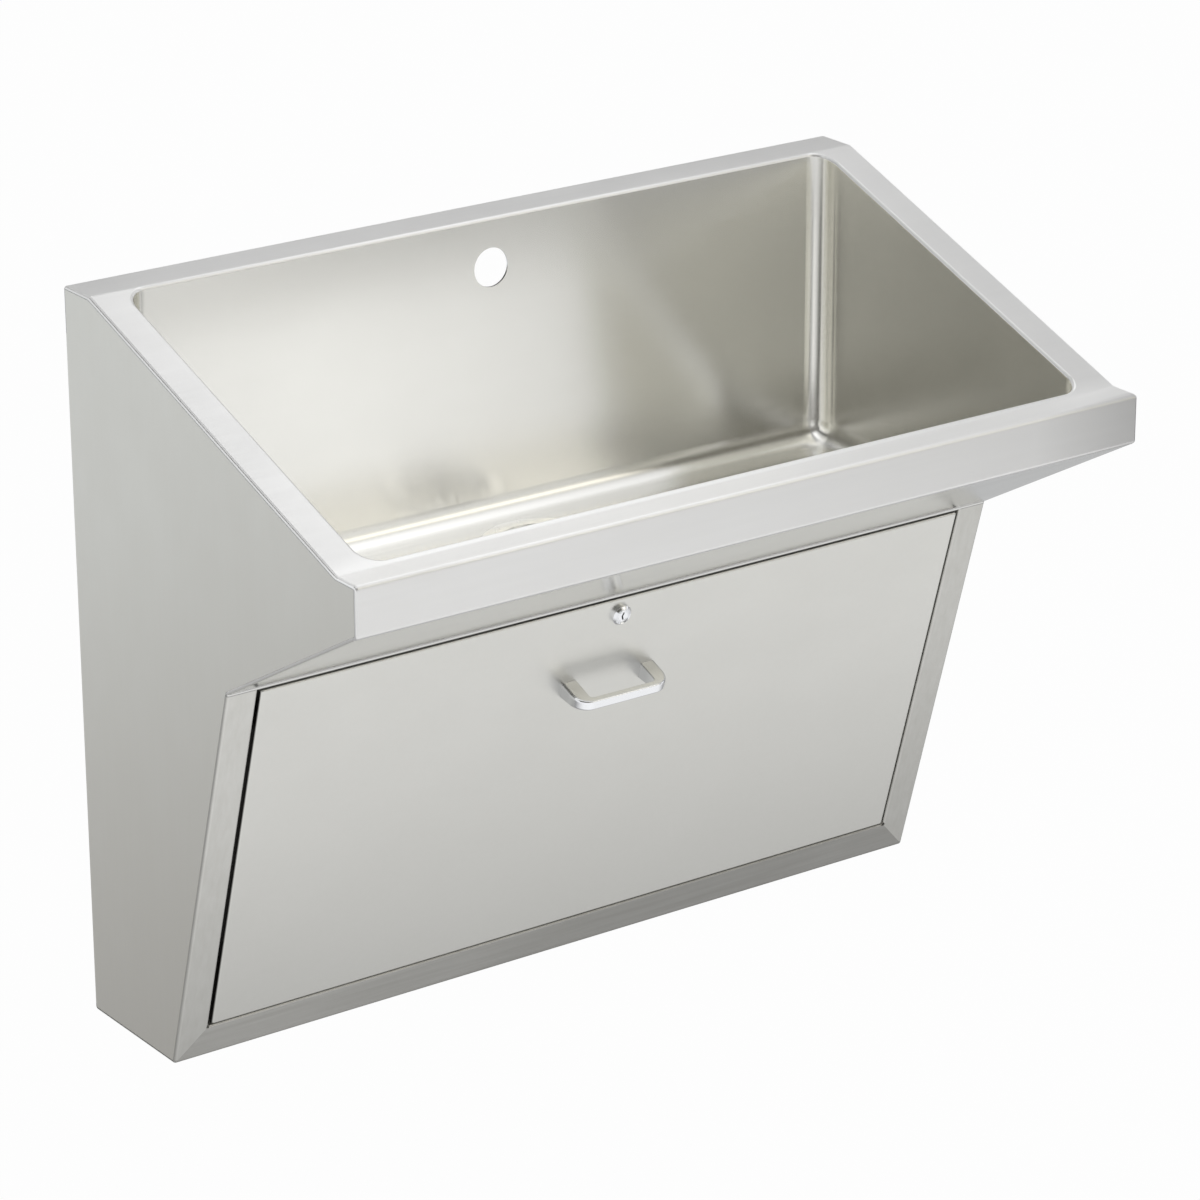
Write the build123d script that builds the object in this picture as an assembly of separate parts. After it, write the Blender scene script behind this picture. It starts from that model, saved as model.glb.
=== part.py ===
from build123d import *

import os
from math import atan2, cos, hypot, radians, sin, tan

# Wall-hung scrub sink: a coved bowl under a sloping rim, folded from stainless sheet,
# with an enclosed base and an access panel that tilts out of the leaning front.
#
# Lengths are millimetres. X runs along the sink, Y from the user to the wall, Z up.
# Pieces are drawn with zero on the wall, at mid-length, at the height of the rear rim,
# and are written with zero at the middle of the four hanger bolts.

# Overall sizes and the folds of the end profile
OVERALL_LENGTH = 787.4
OVERALL_DEPTH = 436.0
OVERALL_HEIGHT = 654.0
REAR_FLAT = 41.5
FRONT_FLAT = 29.0
RIM_DROP = 130.7
LIP_HEIGHT = 42.8
HEAD_DEPTH = 241.0
HEAD_DROP = 282.8
BASE_DEPTH = 133.2

# Sheet and folds
SHEET = 1.9
FOLD_RADIUS = SHEET + 1.6
SLOPE_FOLD_RADIUS = 12.0
HEAD_FOLD_RADIUS = 1.0
END_RADIUS = SHEET + 0.6
SEAM = 0.3
LIP_RETURN = 7.0
BACK_FLANGE = 40.0
SIDE_FLANGE = 30.0
PAN_FOLD = 6.0
PAN_REAR_FLANGE = 30.0

# Bowl, inside the slope of the rim, its floor just above the head of the opening
BOWL_SIDE_MARGIN = 32.7
BOWL_REAR = REAR_FLAT + 1.5
BOWL_FRONT = OVERALL_DEPTH - FRONT_FLAT - 7.0
BOWL_DEPTH = HEAD_DROP - 10.8
BOWL_COVE = 20.0
BOWL_CORNER = 19.0
BREAK_RADIUS = 40.0
RIM_EDGE_RADIUS = 3.0

# Faucet hole in the rear wall of the bowl
FAUCET_HOLE_RADIUS = 17.5
FAUCET_HOLE_DROP = 44.4

# Leaning front: posts, rail and the opening between them
POST_WIDTH = 29.2
RAIL_HEIGHT = 31.5
PANEL_DEPTH = 15.0
POST_FLANGE = PANEL_DEPTH + 3.0
RAIL_FLANGE = PANEL_DEPTH + 15.0
HEAD_FLANGE = PANEL_DEPTH + 1.0
FLANGE_FOLD_RADIUS = 2.0
RELIEF_RADIUS = 1.8

# Access panel
PANEL_SHEET = 1.5
PANEL_GAP_LEFT = 3.4
PANEL_GAP_RIGHT = 2.0
PANEL_GAP_TOP = 3.0
PANEL_GAP_BOTTOM = 1.0
PANEL_LIP = 10.0
PANEL_FOLD_RADIUS = 2.0
PANEL_CORNER_RADIUS = 2.6
STIFFENER_MARGIN = 184.5
STIFFENER_WIDTH = 50.0
STIFFENER_CROWN = 26.0
STIFFENER_SPREAD = 3.0
STIFFENER_DEPTH = PANEL_DEPTH - 4.0
STIFFENER_SHEET = 1.2
STIFFENER_END_MARGIN = 14.0

# Tabs that locate the foot of the access panel in the rail
TAB_MARGIN = 84.5
TAB_WIDTH = 30.0
TAB_TIP_RADIUS = 6.0
TAB_THICKNESS = 2.0
TAB_REACH = 20.0
TAB_BASE = 12.0
TAB_CLEARANCE = 0.3
PANEL_TILT = 40.0

# Stops behind the upper corners of the access panel
STOP_DROP = 36.6
STOP_LENGTH = 30.0
STOP_REACH = 20.0
STOP_SHEET = 2.0
BUMPER_RADIUS = 4.5
BUMPER_MARGIN = 8.5
BUMPER_CLEARANCE = 0.3

# Pull handle; it and the lock stand a little off the centre line of the panel
LATCH_SHIFT = -2.4
HANDLE_DROP = 84.1
HANDLE_WIDTH = 97.0
HANDLE_FOOT_LENGTH = 14.8
HANDLE_REACH = 28.7
HANDLE_BAR = 5.7
HANDLE_FOOT_HEIGHT = 15.0
HANDLE_BAR_HEIGHT = 9.0
HANDLE_CORNER = 15.0
HANDLE_INNER_CORNER = 3.0
HANDLE_OUTER_EDGE = 4.0
HANDLE_INNER_EDGE = 0.8
HANDLE_SCREW_OFFSET = (HANDLE_WIDTH - HANDLE_FOOT_LENGTH) / 2
HANDLE_SCREW_RADIUS = 2.5
HANDLE_SCREW_DEPTH = 9.0
SCREW_CLEARANCE = 0.05
SCREW_RUNOUT = 1.0
SCREW_HEAD_BEVEL = 1.0
SCREW_HEAD_RADIUS = 4.8
SCREW_HEAD_HEIGHT = 3.2

# Cam lock
LOCK_DROP = 15.6
LOCK_RIM_RADIUS = 9.8
LOCK_RIM_BEVEL = 0.9
LOCK_FACE_RISE = 4.8
LOCK_BARREL_RADIUS = LOCK_RIM_RADIUS - 1.4
LOCK_BARREL_FLAT = LOCK_BARREL_RADIUS - 1.2
LOCK_HOLE_CLEARANCE = 0.2
PLUG_RADIUS = 5.8
PLUG_CLEARANCE = 0.05
PLUG_RECESS = 0.6
PLUG_LAND = 0.8
PLUG_TAIL = 7.0
KEYWAY_WIDTH = 1.5
KEYWAY_HEIGHT = 7.0
KEYWAY_DEPTH = 10.0
LOCK_NUT_FLATS = 2 * LOCK_RIM_RADIUS + 0.4
LOCK_NUT_HEIGHT = 4.0
CAM_LENGTH = 22.0
CAM_WIDTH = 16.0
CAM_TIP_WIDTH = 11.0
CAM_THICKNESS = 2.0
CAM_CLEARANCE = 0.3
CAM_SCREW_RADIUS = 2.0
CAM_SCREW_LENGTH = 8.0
CAM_SCREW_HEAD_RADIUS = 5.0
CAM_SCREW_HEAD_HEIGHT = 3.0

# Strike on the head flange, behind which the cam turns up
STRIKE_WIDTH = 40.0
STRIKE_SHEET = 2.0
STRIKE_OFFSET = PANEL_DEPTH + 2.0
STRIKE_FOOT = 15.0
STRIKE_CLEARANCE = 2.0
LOCK_BARREL_LENGTH = STRIKE_OFFSET + STRIKE_SHEET + 0.2

# Wall hangers, one each side of the faucet
HANGER_BOLT_SPACING = 406.4
HANGER_BOLT_RISE = 25.0
HANGER_BOLT_DROP = 70.0
HANGER_BOLT_RADIUS = 5.0
HANGER_WIDTH = 150.0
HANGER_PLATE = 3.0
HANGER_CLEARANCE = 0.3
HANGER_END_MARGIN = 12.5
HANGER_STEP = 3.0

# Slots in the side flanges for the lower wall bolts
SIDE_SLOT_RADIUS = 4.5
SIDE_SLOT_LENGTH = 14.0
SIDE_SLOT_MARGIN = 16.0
SIDE_SLOT_UPPER_DROP = 150.0
SIDE_SLOT_LOWER_DROP = OVERALL_HEIGHT - 104.0

# Drain fitting
CUP_RADIUS = 43.5
CUP_WALL = 2.0
CUP_DEPTH = 45.0
DRAIN_HOLE_RADIUS = CUP_RADIUS + 1.0
DRAIN_FLANGE_RADIUS = CUP_RADIUS + 13.5
DRAIN_FLANGE_THICKNESS = 2.0
TAILPIECE_RADIUS = 19.05
SPIGOT_BORE_RADIUS = TAILPIECE_RADIUS - 0.05
SPIGOT_RADIUS = SPIGOT_BORE_RADIUS + 5.0
SPIGOT_LENGTH = 22.0
GRID_DROP = 2.5
GRID_THICKNESS = 1.5
GRID_CLEARANCE = 0.3
GRID_LEDGE = 3.0
GRID_HOLE_RADIUS = 3.0
GRID_RINGS = ((0.267, 6), (0.498, 12), (0.74, 18))
GRID_SCREW_RADIUS = 2.0
GRID_SCREW_HEAD_RADIUS = 4.5
GRID_SCREW_LENGTH = 10.0
SPIDER_ARM = 4.0
SPIDER_HEIGHT = 8.0
SPIDER_BOSS_RADIUS = 6.0
GASKET_RADIUS = DRAIN_FLANGE_RADIUS - 2.0
GASKET_THICKNESS = 3.0
FRICTION_WASHER_THICKNESS = 1.2
LOCKNUT_RADIUS = GASKET_RADIUS - 1.0
LOCKNUT_LUG_RADIUS = LOCKNUT_RADIUS + 6.0
LOCKNUT_LUGS = 6
LOCKNUT_HEIGHT = 10.0
THREAD_CLEARANCE = 0.1
TAILPIECE_WALL = 1.25
TAILPIECE_LENGTH = 127.0
TAILPIECE_FLANGE_RADIUS = SPIGOT_RADIUS - 1.0
TAILPIECE_FLANGE = 2.5
TAILPIECE_WASHER = 2.0
COUPLING_NUT_FLATS = 2 * SPIGOT_RADIUS + 10.0
COUPLING_NUT_THREAD = 12.0
COUPLING_NUT_SHOULDER = 4.0

# Level floor of the bowl: from the rear cove, past the drain, to the break
DRAIN_SETBACK = BOWL_REAR + BOWL_COVE + DRAIN_FLANGE_RADIUS + 1.0
FLOOR_BREAK = DRAIN_SETBACK + DRAIN_FLANGE_RADIUS + 12.0

# Sound-deadening pads under the level floor of the bowl
PAD_THICKNESS = 4.0
PAD_INNER = LOCKNUT_LUG_RADIUS + 18.0
PAD_SIDE_MARGIN = 26.0
PAD_REAR = BOWL_REAR + 23.0
PAD_FRONT = FLOOR_BREAK - 20.0
PAD_CORNER = 8.0

# Room left around a sheet where a cutting shape passes it, the height of the bowl's
# cutting form above the rim, and the reach of a cut that takes in the whole sheet
CUT_MARGIN = 10.0
BOWL_RUNOUT = 65.0
SKIN_REACH = 3 * SHEET
EDGE_MARGIN = 0.01

# The end profile, from the rear top corner forwards, down the front and back to the wall
PROFILE = [
    (0, 0),
    (-REAR_FLAT, 0),
    (-(OVERALL_DEPTH - FRONT_FLAT), -RIM_DROP),
    (-OVERALL_DEPTH, -RIM_DROP),
    (-OVERALL_DEPTH, -RIM_DROP - LIP_HEIGHT),
    (-HEAD_DEPTH, -HEAD_DROP),
    (-BASE_DEPTH, -OVERALL_HEIGHT),
    (0, -OVERALL_HEIGHT),
]
LIP_FOOT = 4
HEAD = 5
# Radius of each fold, and whether the sheet bends around it outwards (1) or inwards (-1)
PROFILE_FOLDS = [
    (FOLD_RADIUS, 1),
    (SLOPE_FOLD_RADIUS, 1),
    (SLOPE_FOLD_RADIUS, -1),
    (FOLD_RADIUS, 1),
    (FOLD_RADIUS, 1),
    (HEAD_FOLD_RADIUS, -1),
    (FOLD_RADIUS, 1),
    (FOLD_RADIUS, 1),
]

HALF_LENGTH = OVERALL_LENGTH / 2
FRONT_LEAN = atan2(HEAD_DEPTH - BASE_DEPTH, OVERALL_HEIGHT - HEAD_DROP)
FRONT_HEIGHT = hypot(HEAD_DEPTH - BASE_DEPTH, OVERALL_HEIGHT - HEAD_DROP)
UNDERSIDE_SLOPE = (HEAD_DROP - RIM_DROP - LIP_HEIGHT) / (OVERALL_DEPTH - HEAD_DEPTH)

# On the leaning front, x runs along the sink, y up the front and z out towards the user
FRONT = Plane(
    origin=(0, -BASE_DEPTH, -OVERALL_HEIGHT),
    x_dir=(1, 0, 0),
    z_dir=(0, -cos(FRONT_LEAN), -sin(FRONT_LEAN)),
)
OPENING_HALF = HALF_LENGTH - POST_WIDTH
OPENING_TOP = FRONT_HEIGHT - SHEET
PANEL_LEFT = -OPENING_HALF + PANEL_GAP_LEFT
PANEL_RIGHT = OPENING_HALF - PANEL_GAP_RIGHT
PANEL_BOTTOM = RAIL_HEIGHT + PANEL_GAP_BOTTOM
PANEL_TOP = OPENING_TOP - PANEL_GAP_TOP
PIVOT_HEIGHT = RAIL_HEIGHT + PANEL_GAP_BOTTOM / 2
LOCK_HEIGHT = PANEL_TOP - LOCK_DROP
HANDLE_HEIGHT = PANEL_TOP - HANDLE_DROP
STOP_HEIGHT = PANEL_TOP - STOP_DROP
TAB_OFFSET = OPENING_HALF - TAB_MARGIN
STIFFENER_OFFSET = OPENING_HALF - STIFFENER_MARGIN
BUMPER_OFFSET = OPENING_HALF - BUMPER_MARGIN
TAB_Z = -PANEL_DEPTH - TAB_CLEARANCE
STOP_Z = -POST_FLANGE - SEAM
CAM_Z = -LOCK_BARREL_LENGTH - CAM_CLEARANCE

BOWL_HALF = HALF_LENGTH - BOWL_SIDE_MARGIN
FLOOR_TOP = -BOWL_DEPTH
FLOOR_UNDERSIDE = FLOOR_TOP - SHEET
PAD_OUTER = BOWL_HALF - PAD_SIDE_MARGIN

# Heights in the drain, measured from the floor of the bowl
GRID_Z = -GRID_DROP - GRID_THICKNESS
GASKET_FOOT = -SHEET - GASKET_THICKNESS
WASHER_FOOT = GASKET_FOOT - FRICTION_WASHER_THICKNESS
SPIGOT_FOOT = -CUP_DEPTH - SPIGOT_LENGTH
TAILPIECE_TOP = SPIGOT_FOOT - TAILPIECE_WASHER


def inset_outline(points, distance):
    """Each side of a closed outline moved inwards by a distance, with new corners."""
    corners = []
    for index, (px, py) in enumerate(points):
        ax, ay = points[index - 1]
        bx, by = points[(index + 1) % len(points)]
        before = hypot(px - ax, py - ay)
        after = hypot(bx - px, by - py)
        n1 = (-(py - ay) / before, (px - ax) / before)
        n2 = (-(by - py) / after, (bx - px) / after)
        share = distance / (1 + n1[0] * n2[0] + n1[1] * n2[1])
        corners.append((px + share * (n1[0] + n2[0]), py + share * (n1[1] + n2[1])))
    return corners


def side_face(points):
    """A face in the Y-Z plane with straight sides."""
    return make_face(Plane.YZ * Polyline(*points, close=True))


def end_face(inset):
    """The end profile moved inwards, its folds kept concentric."""
    radii = [radius - turn * inset for radius, turn in PROFILE_FOLDS]
    outline = FilletPolyline(*inset_outline(PROFILE, inset), radius=radii, close=True)
    return make_face(Plane.YZ * outline)


def along(face, low, high):
    """A face in the Y-Z plane carried along X from low to high."""
    return Pos(low, 0, 0) * extrude(face, high - low, dir=(1, 0, 0))


def block(x_range, y_range, z_range):
    """A box between two values on each axis."""
    size = [high - low for low, high in (x_range, y_range, z_range)]
    middle = [(high + low) / 2 for low, high in (x_range, y_range, z_range)]
    return Pos(*middle) * Box(*size)


def rounded_length(inset, radius):
    """The closed form of the cabinet, its ends rounded off."""
    reach = HALF_LENGTH - inset
    form = along(end_face(inset), -reach, reach)
    ends = form.edges().group_by(Axis.X)
    return fillet(ends[0] + ends[-1], radius)


def turned(points):
    """A ring or cup turned about Z from its (radius, height) outline."""
    return revolve(make_face(Plane.XZ * Polyline(*points, close=True)), Axis.Z)


def ring(outer, inner, low, high):
    """A flat ring about Z."""
    return turned([(inner, low), (outer, low), (outer, high), (inner, high)])


def hexagon(flats, low, high):
    """A hexagonal block about Z, given across its flats."""
    shape = RegularPolygon(flats / 2, 6, major_radius=False)
    return Pos(0, 0, low) * extrude(shape, high - low)


# Cabinet forms that the folded sheets are cut from
OUTER_FORM = rounded_length(0, END_RADIUS)
INNER_FORM = rounded_length(SHEET, END_RADIUS - SHEET)
SKIN = OUTER_FORM - INNER_FORM


def end_core(inset, side):
    """What lies inside the rounded edge at one end, through the thickness of the sheet."""
    reach = sorted((side * (HALF_LENGTH - SHEET), side * (HALF_LENGTH + CUT_MARGIN)))
    return along(end_face(inset), *reach)


def wrapped(sheet):
    """A sheet that wraps the ends: its flange stops where the rounding stops."""
    return sheet - end_core(END_RADIUS, -1) - end_core(END_RADIUS, 1)


def underside_cut(distance, inset):
    """A point on the front underside, a distance from the lip and an inset into the sink."""
    lean = atan2(UNDERSIDE_SLOPE, 1)
    y, z = PROFILE[LIP_FOOT]
    return (
        y + distance * cos(lean) + inset * sin(lean),
        z - distance * sin(lean) + inset * cos(lean),
    )


def bowl_form(grow):
    """The hollow of the bowl, coved all round, or its outside when grown by the sheet."""
    front_rise = (BOWL_FRONT - FLOOR_BREAK) * UNDERSIDE_SLOPE
    sides = [
        (-BOWL_REAR, BOWL_RUNOUT),
        (-BOWL_FRONT, BOWL_RUNOUT),
        (-BOWL_FRONT, FLOOR_TOP + front_rise),
        (-FLOOR_BREAK, FLOOR_TOP),
        (-BOWL_REAR, FLOOR_TOP),
    ]
    radii = [0, 0, BOWL_COVE + grow, BREAK_RADIUS + grow, BOWL_COVE + grow]
    outline = FilletPolyline(*inset_outline(sides, -grow), radius=radii, close=True)
    half = BOWL_HALF + grow
    form = along(make_face(Plane.YZ * outline), -half, half)
    ends = form.edges().group_by(Axis.X)
    coved = [edge for edge in ends[0] + ends[-1] if edge.center().Z < BOWL_RUNOUT]
    return fillet(coved, BOWL_CORNER + grow)


def rim_and_bowl():
    """The sloping rim with its lip and rear flange, and the bowl welded in under it."""
    inner = inset_outline(PROFILE, SKIN_REACH)
    reach = OVERALL_DEPTH + CUT_MARGIN
    region = side_face([
        (CUT_MARGIN, CUT_MARGIN),
        (-reach, CUT_MARGIN),
        (-reach, -HEAD_DROP),
        underside_cut(LIP_RETURN, -CUT_MARGIN),
        underside_cut(LIP_RETURN, SKIN_REACH),
        *reversed(inner[1:4]),
        inner[0],
        (-SKIN_REACH, -BACK_FLANGE),
        (CUT_MARGIN, -BACK_FLANGE),
    ])
    sheet = wrapped(SKIN & along(region, -HALF_LENGTH, HALF_LENGTH))
    joined = sheet + (bowl_form(SHEET) & OUTER_FORM) - bowl_form(0)
    rim_edges = [
        edge
        for edge in joined.edges()
        if abs(edge.center().X) < BOWL_HALF + EDGE_MARGIN
        and -BOWL_FRONT - EDGE_MARGIN < edge.bounding_box().min.Y
        and edge.bounding_box().max.Y < -BOWL_REAR + EDGE_MARGIN
        and edge.center().Z > -RIM_DROP - EDGE_MARGIN
        and edge.bounding_box().min.Z > -RIM_DROP - EDGE_MARGIN
        and (edge.geom_type != GeomType.LINE or edge.bounding_box().size.Z < RIM_DROP)
    ]
    joined = fillet(rim_edges, RIM_EDGE_RADIUS)
    rim = joined - INNER_FORM
    bowl = joined & INNER_FORM
    faucet_hole = Pos(0, -BOWL_REAR, -FAUCET_HOLE_DROP) * Rot(90, 0, 0) * Cylinder(
        FAUCET_HOLE_RADIUS, 2 * SKIN_REACH
    )
    drain_hole = Pos(0, -DRAIN_SETBACK, FLOOR_TOP) * Cylinder(
        DRAIN_HOLE_RADIUS, 2 * SKIN_REACH
    )
    return rim, bowl - faucet_hole - drain_hole


def end_panel(side):
    """An end plate inside the rounded edges, with a slotted flange turned in at the wall."""
    plate = SKIN & end_core(END_RADIUS + SEAM, side)
    low = -OVERALL_HEIGHT + PAN_FOLD
    high = -BACK_FLANGE - SEAM
    corner = block(
        sorted((side * (HALF_LENGTH - SIDE_FLANGE), side * (HALF_LENGTH + CUT_MARGIN))),
        (-END_RADIUS - 2 * SEAM, CUT_MARGIN),
        (low, high),
    )
    panel = plate + (SKIN & corner)
    for drop in (SIDE_SLOT_UPPER_DROP, SIDE_SLOT_LOWER_DROP):
        slot = extrude(SlotOverall(SIDE_SLOT_LENGTH, 2 * SIDE_SLOT_RADIUS), CUT_MARGIN, both=True)
        x = side * (HALF_LENGTH - SIDE_SLOT_MARGIN)
        panel -= Pos(x, 0, -drop) * Rot(90, 0, 0) * slot
    return panel


def front_underside_panel():
    """The panel from the lip down to the head of the opening, with the head flange."""
    inner = inset_outline(PROFILE, SKIN_REACH)
    region = side_face([
        underside_cut(LIP_RETURN, -CUT_MARGIN),
        (-HEAD_DEPTH, -HEAD_DROP - 3 * CUT_MARGIN),
        (-HEAD_DEPTH + 2 * CUT_MARGIN, -HEAD_DROP - CUT_MARGIN),
        inner[HEAD],
        underside_cut(LIP_RETURN, SKIN_REACH),
    ])
    above_opening = FRONT * block(
        (-HALF_LENGTH, HALF_LENGTH),
        (OPENING_TOP, FRONT_HEIGHT + OVERALL_DEPTH),
        (-HEAD_DEPTH, OVERALL_DEPTH),
    )
    sheet = wrapped(SKIN & along(region, -HALF_LENGTH, HALF_LENGTH) & above_opening)
    flange = FRONT * block(
        (-OPENING_HALF, OPENING_HALF),
        (OPENING_TOP, FRONT_HEIGHT),
        (-HEAD_FLANGE, -SHEET / 2),
    )
    return sheet + flange


def rail_outline():
    """The face of the rail on the leaning front, mitred to the posts."""
    return Polyline(
        (-HALF_LENGTH, 0),
        (HALF_LENGTH, 0),
        (OPENING_HALF, RAIL_HEIGHT),
        (-OPENING_HALF, RAIL_HEIGHT),
        close=True,
    )


def relief_holes():
    """Round holes where the flanges meet at the lower corners of the opening."""
    hole = Cylinder(RELIEF_RADIUS, CUT_MARGIN)
    return [FRONT * (Pos(x, RAIL_HEIGHT, 0) * hole) for x in (-OPENING_HALF, OPENING_HALF)]


def front_post(side):
    """A post beside the opening: its face, its flange and the mitre at its foot."""
    face = SKIN & FRONT * block(
        sorted((side * OPENING_HALF, side * (HALF_LENGTH + CUT_MARGIN))),
        (0, OPENING_TOP - SEAM),
        (-END_RADIUS - SHEET, CUT_MARGIN),
    )
    mitre = FRONT * extrude(make_face(rail_outline()), CUT_MARGIN, both=True)
    floor = block(
        (-HALF_LENGTH, HALF_LENGTH),
        (-OVERALL_DEPTH, 0),
        (-OVERALL_HEIGHT - CUT_MARGIN, -OVERALL_HEIGHT + FOLD_RADIUS),
    )
    flange = FRONT * block(
        sorted((side * OPENING_HALF, side * (OPENING_HALF + SHEET))),
        (RAIL_HEIGHT + SEAM, OPENING_TOP - SEAM),
        (-POST_FLANGE, -SHEET / 2),
    )
    post = wrapped(face) + flange - mitre - floor
    fold = post.edges().filter_by(Axis(FRONT.origin, FRONT.y_dir))
    corner = FRONT * Pos(side * OPENING_HALF, FRONT_HEIGHT / 2, 0)
    edge = fold.sort_by_distance(corner.position)[0]
    return fillet(edge, FLANGE_FOLD_RADIUS) - relief_holes()


def bottom_pan():
    """The floor of the cabinet with its rear flange and the rail with its slotted flange."""
    full_width = (-HALF_LENGTH, HALF_LENGTH)
    floor = SKIN & block(
        full_width,
        (-OVERALL_DEPTH, CUT_MARGIN),
        (-OVERALL_HEIGHT - CUT_MARGIN, -OVERALL_HEIGHT + FOLD_RADIUS),
    )
    between_flanges = HALF_LENGTH - SIDE_FLANGE - SEAM
    rear = SKIN & block(
        (-between_flanges, between_flanges),
        (-FOLD_RADIUS, CUT_MARGIN),
        (-OVERALL_HEIGHT, -OVERALL_HEIGHT + PAN_REAR_FLANGE),
    )
    corners = SKIN & block(
        full_width,
        (-FOLD_RADIUS, CUT_MARGIN),
        (-OVERALL_HEIGHT, -OVERALL_HEIGHT + PAN_FOLD - SEAM),
    )
    rail = SKIN & FRONT * extrude(make_face(rail_outline()), FOLD_RADIUS, both=True)
    flange = FRONT * block(
        (-OPENING_HALF, OPENING_HALF),
        (RAIL_HEIGHT - SHEET, RAIL_HEIGHT),
        (-RAIL_FLANGE, -SHEET / 2),
    )
    radius = FLANGE_FOLD_RADIUS
    fold = block(
        full_width, (RAIL_HEIGHT - radius, RAIL_HEIGHT + radius), (-radius, radius)
    ) - Pos(0, RAIL_HEIGHT - radius, -radius) * Rot(0, 90, 0) * Cylinder(radius, OVERALL_LENGTH)
    pan = wrapped(floor + rear + corners + rail) + flange - FRONT * fold
    tilt = radians(PANEL_TILT)
    under_pivot = PIVOT_HEIGHT - RAIL_HEIGHT + SHEET
    slot_end = (TAB_Z - TAB_THICKNESS) / cos(tilt) - under_pivot * tan(tilt) - TAB_CLEARANCE
    for x in (-TAB_OFFSET, TAB_OFFSET):
        pan -= FRONT * block(
            (x - TAB_WIDTH / 2 - TAB_CLEARANCE, x + TAB_WIDTH / 2 + TAB_CLEARANCE),
            (RAIL_HEIGHT - 2 * SHEET, RAIL_HEIGHT + SHEET),
            (slot_end, TAB_Z + TAB_CLEARANCE),
        )
    return pan - relief_holes()


def on_panel(height):
    """The place on the outside of the access panel, over the latch, at a height."""
    return FRONT * Pos(LATCH_SHIFT, height, 0)


def access_panel():
    """A shallow pan, folded round its edges, with stiffening lips at the sides and head."""
    sheet = PANEL_SHEET
    pan = block((PANEL_LEFT, PANEL_RIGHT), (PANEL_BOTTOM, PANEL_TOP), (-PANEL_DEPTH, 0))
    pan = fillet(pan.edges().filter_by(Axis.Z), PANEL_CORNER_RADIUS)
    pan = fillet(pan.faces().sort_by(Axis.Z)[-1].edges(), PANEL_FOLD_RADIUS)
    pan -= block(
        (PANEL_LEFT + sheet, PANEL_RIGHT - sheet),
        (PANEL_BOTTOM + sheet, PANEL_TOP - sheet),
        (-PANEL_DEPTH + sheet, -sheet),
    )
    inset = sheet + PANEL_LIP
    pan -= block(
        (PANEL_LEFT + inset, PANEL_RIGHT - inset),
        (PANEL_BOTTOM + sheet, PANEL_TOP - inset),
        (-2 * PANEL_DEPTH, -PANEL_DEPTH / 2),
    )
    lock_hole = Pos(LATCH_SHIFT, LOCK_HEIGHT) * lock_barrel(LOCK_HOLE_CLEARANCE, -2 * sheet, sheet)
    lock_notch = Pos(LATCH_SHIFT, LOCK_HEIGHT, -PANEL_DEPTH) * Cylinder(
        LOCK_BARREL_RADIUS + STRIKE_CLEARANCE, PANEL_DEPTH
    )
    screw_holes = [
        Pos(LATCH_SHIFT + x, HANDLE_HEIGHT)
        * Cylinder(HANDLE_SCREW_RADIUS + LOCK_HOLE_CLEARANCE, 4 * sheet)
        for x in (-HANDLE_SCREW_OFFSET, HANDLE_SCREW_OFFSET)
    ]
    return FRONT * (pan - lock_hole - lock_notch - screw_holes)


def panel_stiffener(side):
    """A hat-section rib inside the access panel, from foot to head."""
    foot = STIFFENER_WIDTH / 2
    crown = STIFFENER_CROWN / 2
    knee = crown + STIFFENER_SPREAD
    depth = STIFFENER_DEPTH
    sheet = STIFFENER_SHEET
    face_side = [(foot, 0), (knee, 0), (crown, sheet - depth)]
    cabinet_side = [(crown + sheet, -depth), (knee + sheet, -sheet), (foot, -sheet)]
    outline = face_side + [(-x, z) for x, z in face_side[::-1]]
    outline += [(-x, z) for x, z in cabinet_side[::-1]] + cabinet_side
    section = make_face(Plane.XZ * Polyline(*outline, close=True))
    height = PANEL_TOP - PANEL_BOTTOM - 2 * STIFFENER_END_MARGIN
    rib = extrude(section, height, dir=(0, 1, 0))
    low = PANEL_BOTTOM + STIFFENER_END_MARGIN
    return FRONT * (Pos(side * STIFFENER_OFFSET, low, -PANEL_SHEET) * rib)


def locating_tab(side):
    """An angle on the foot of the access panel whose leg drops into a slot in the rail."""
    x_range = (
        side * TAB_OFFSET - TAB_WIDTH / 2,
        side * TAB_OFFSET + TAB_WIDTH / 2,
    )
    seat = PANEL_BOTTOM + PANEL_SHEET
    back = TAB_Z - TAB_THICKNESS
    foot = block(x_range, (seat, seat + TAB_THICKNESS), (back, back + TAB_BASE))
    leg = block(x_range, (PIVOT_HEIGHT - TAB_REACH, seat + TAB_THICKNESS), (back, TAB_Z))
    tip = leg.edges().filter_by(Axis.Z).group_by(Axis.Y)[0]
    return FRONT * (fillet(tip, TAB_TIP_RADIUS) + foot)


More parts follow.
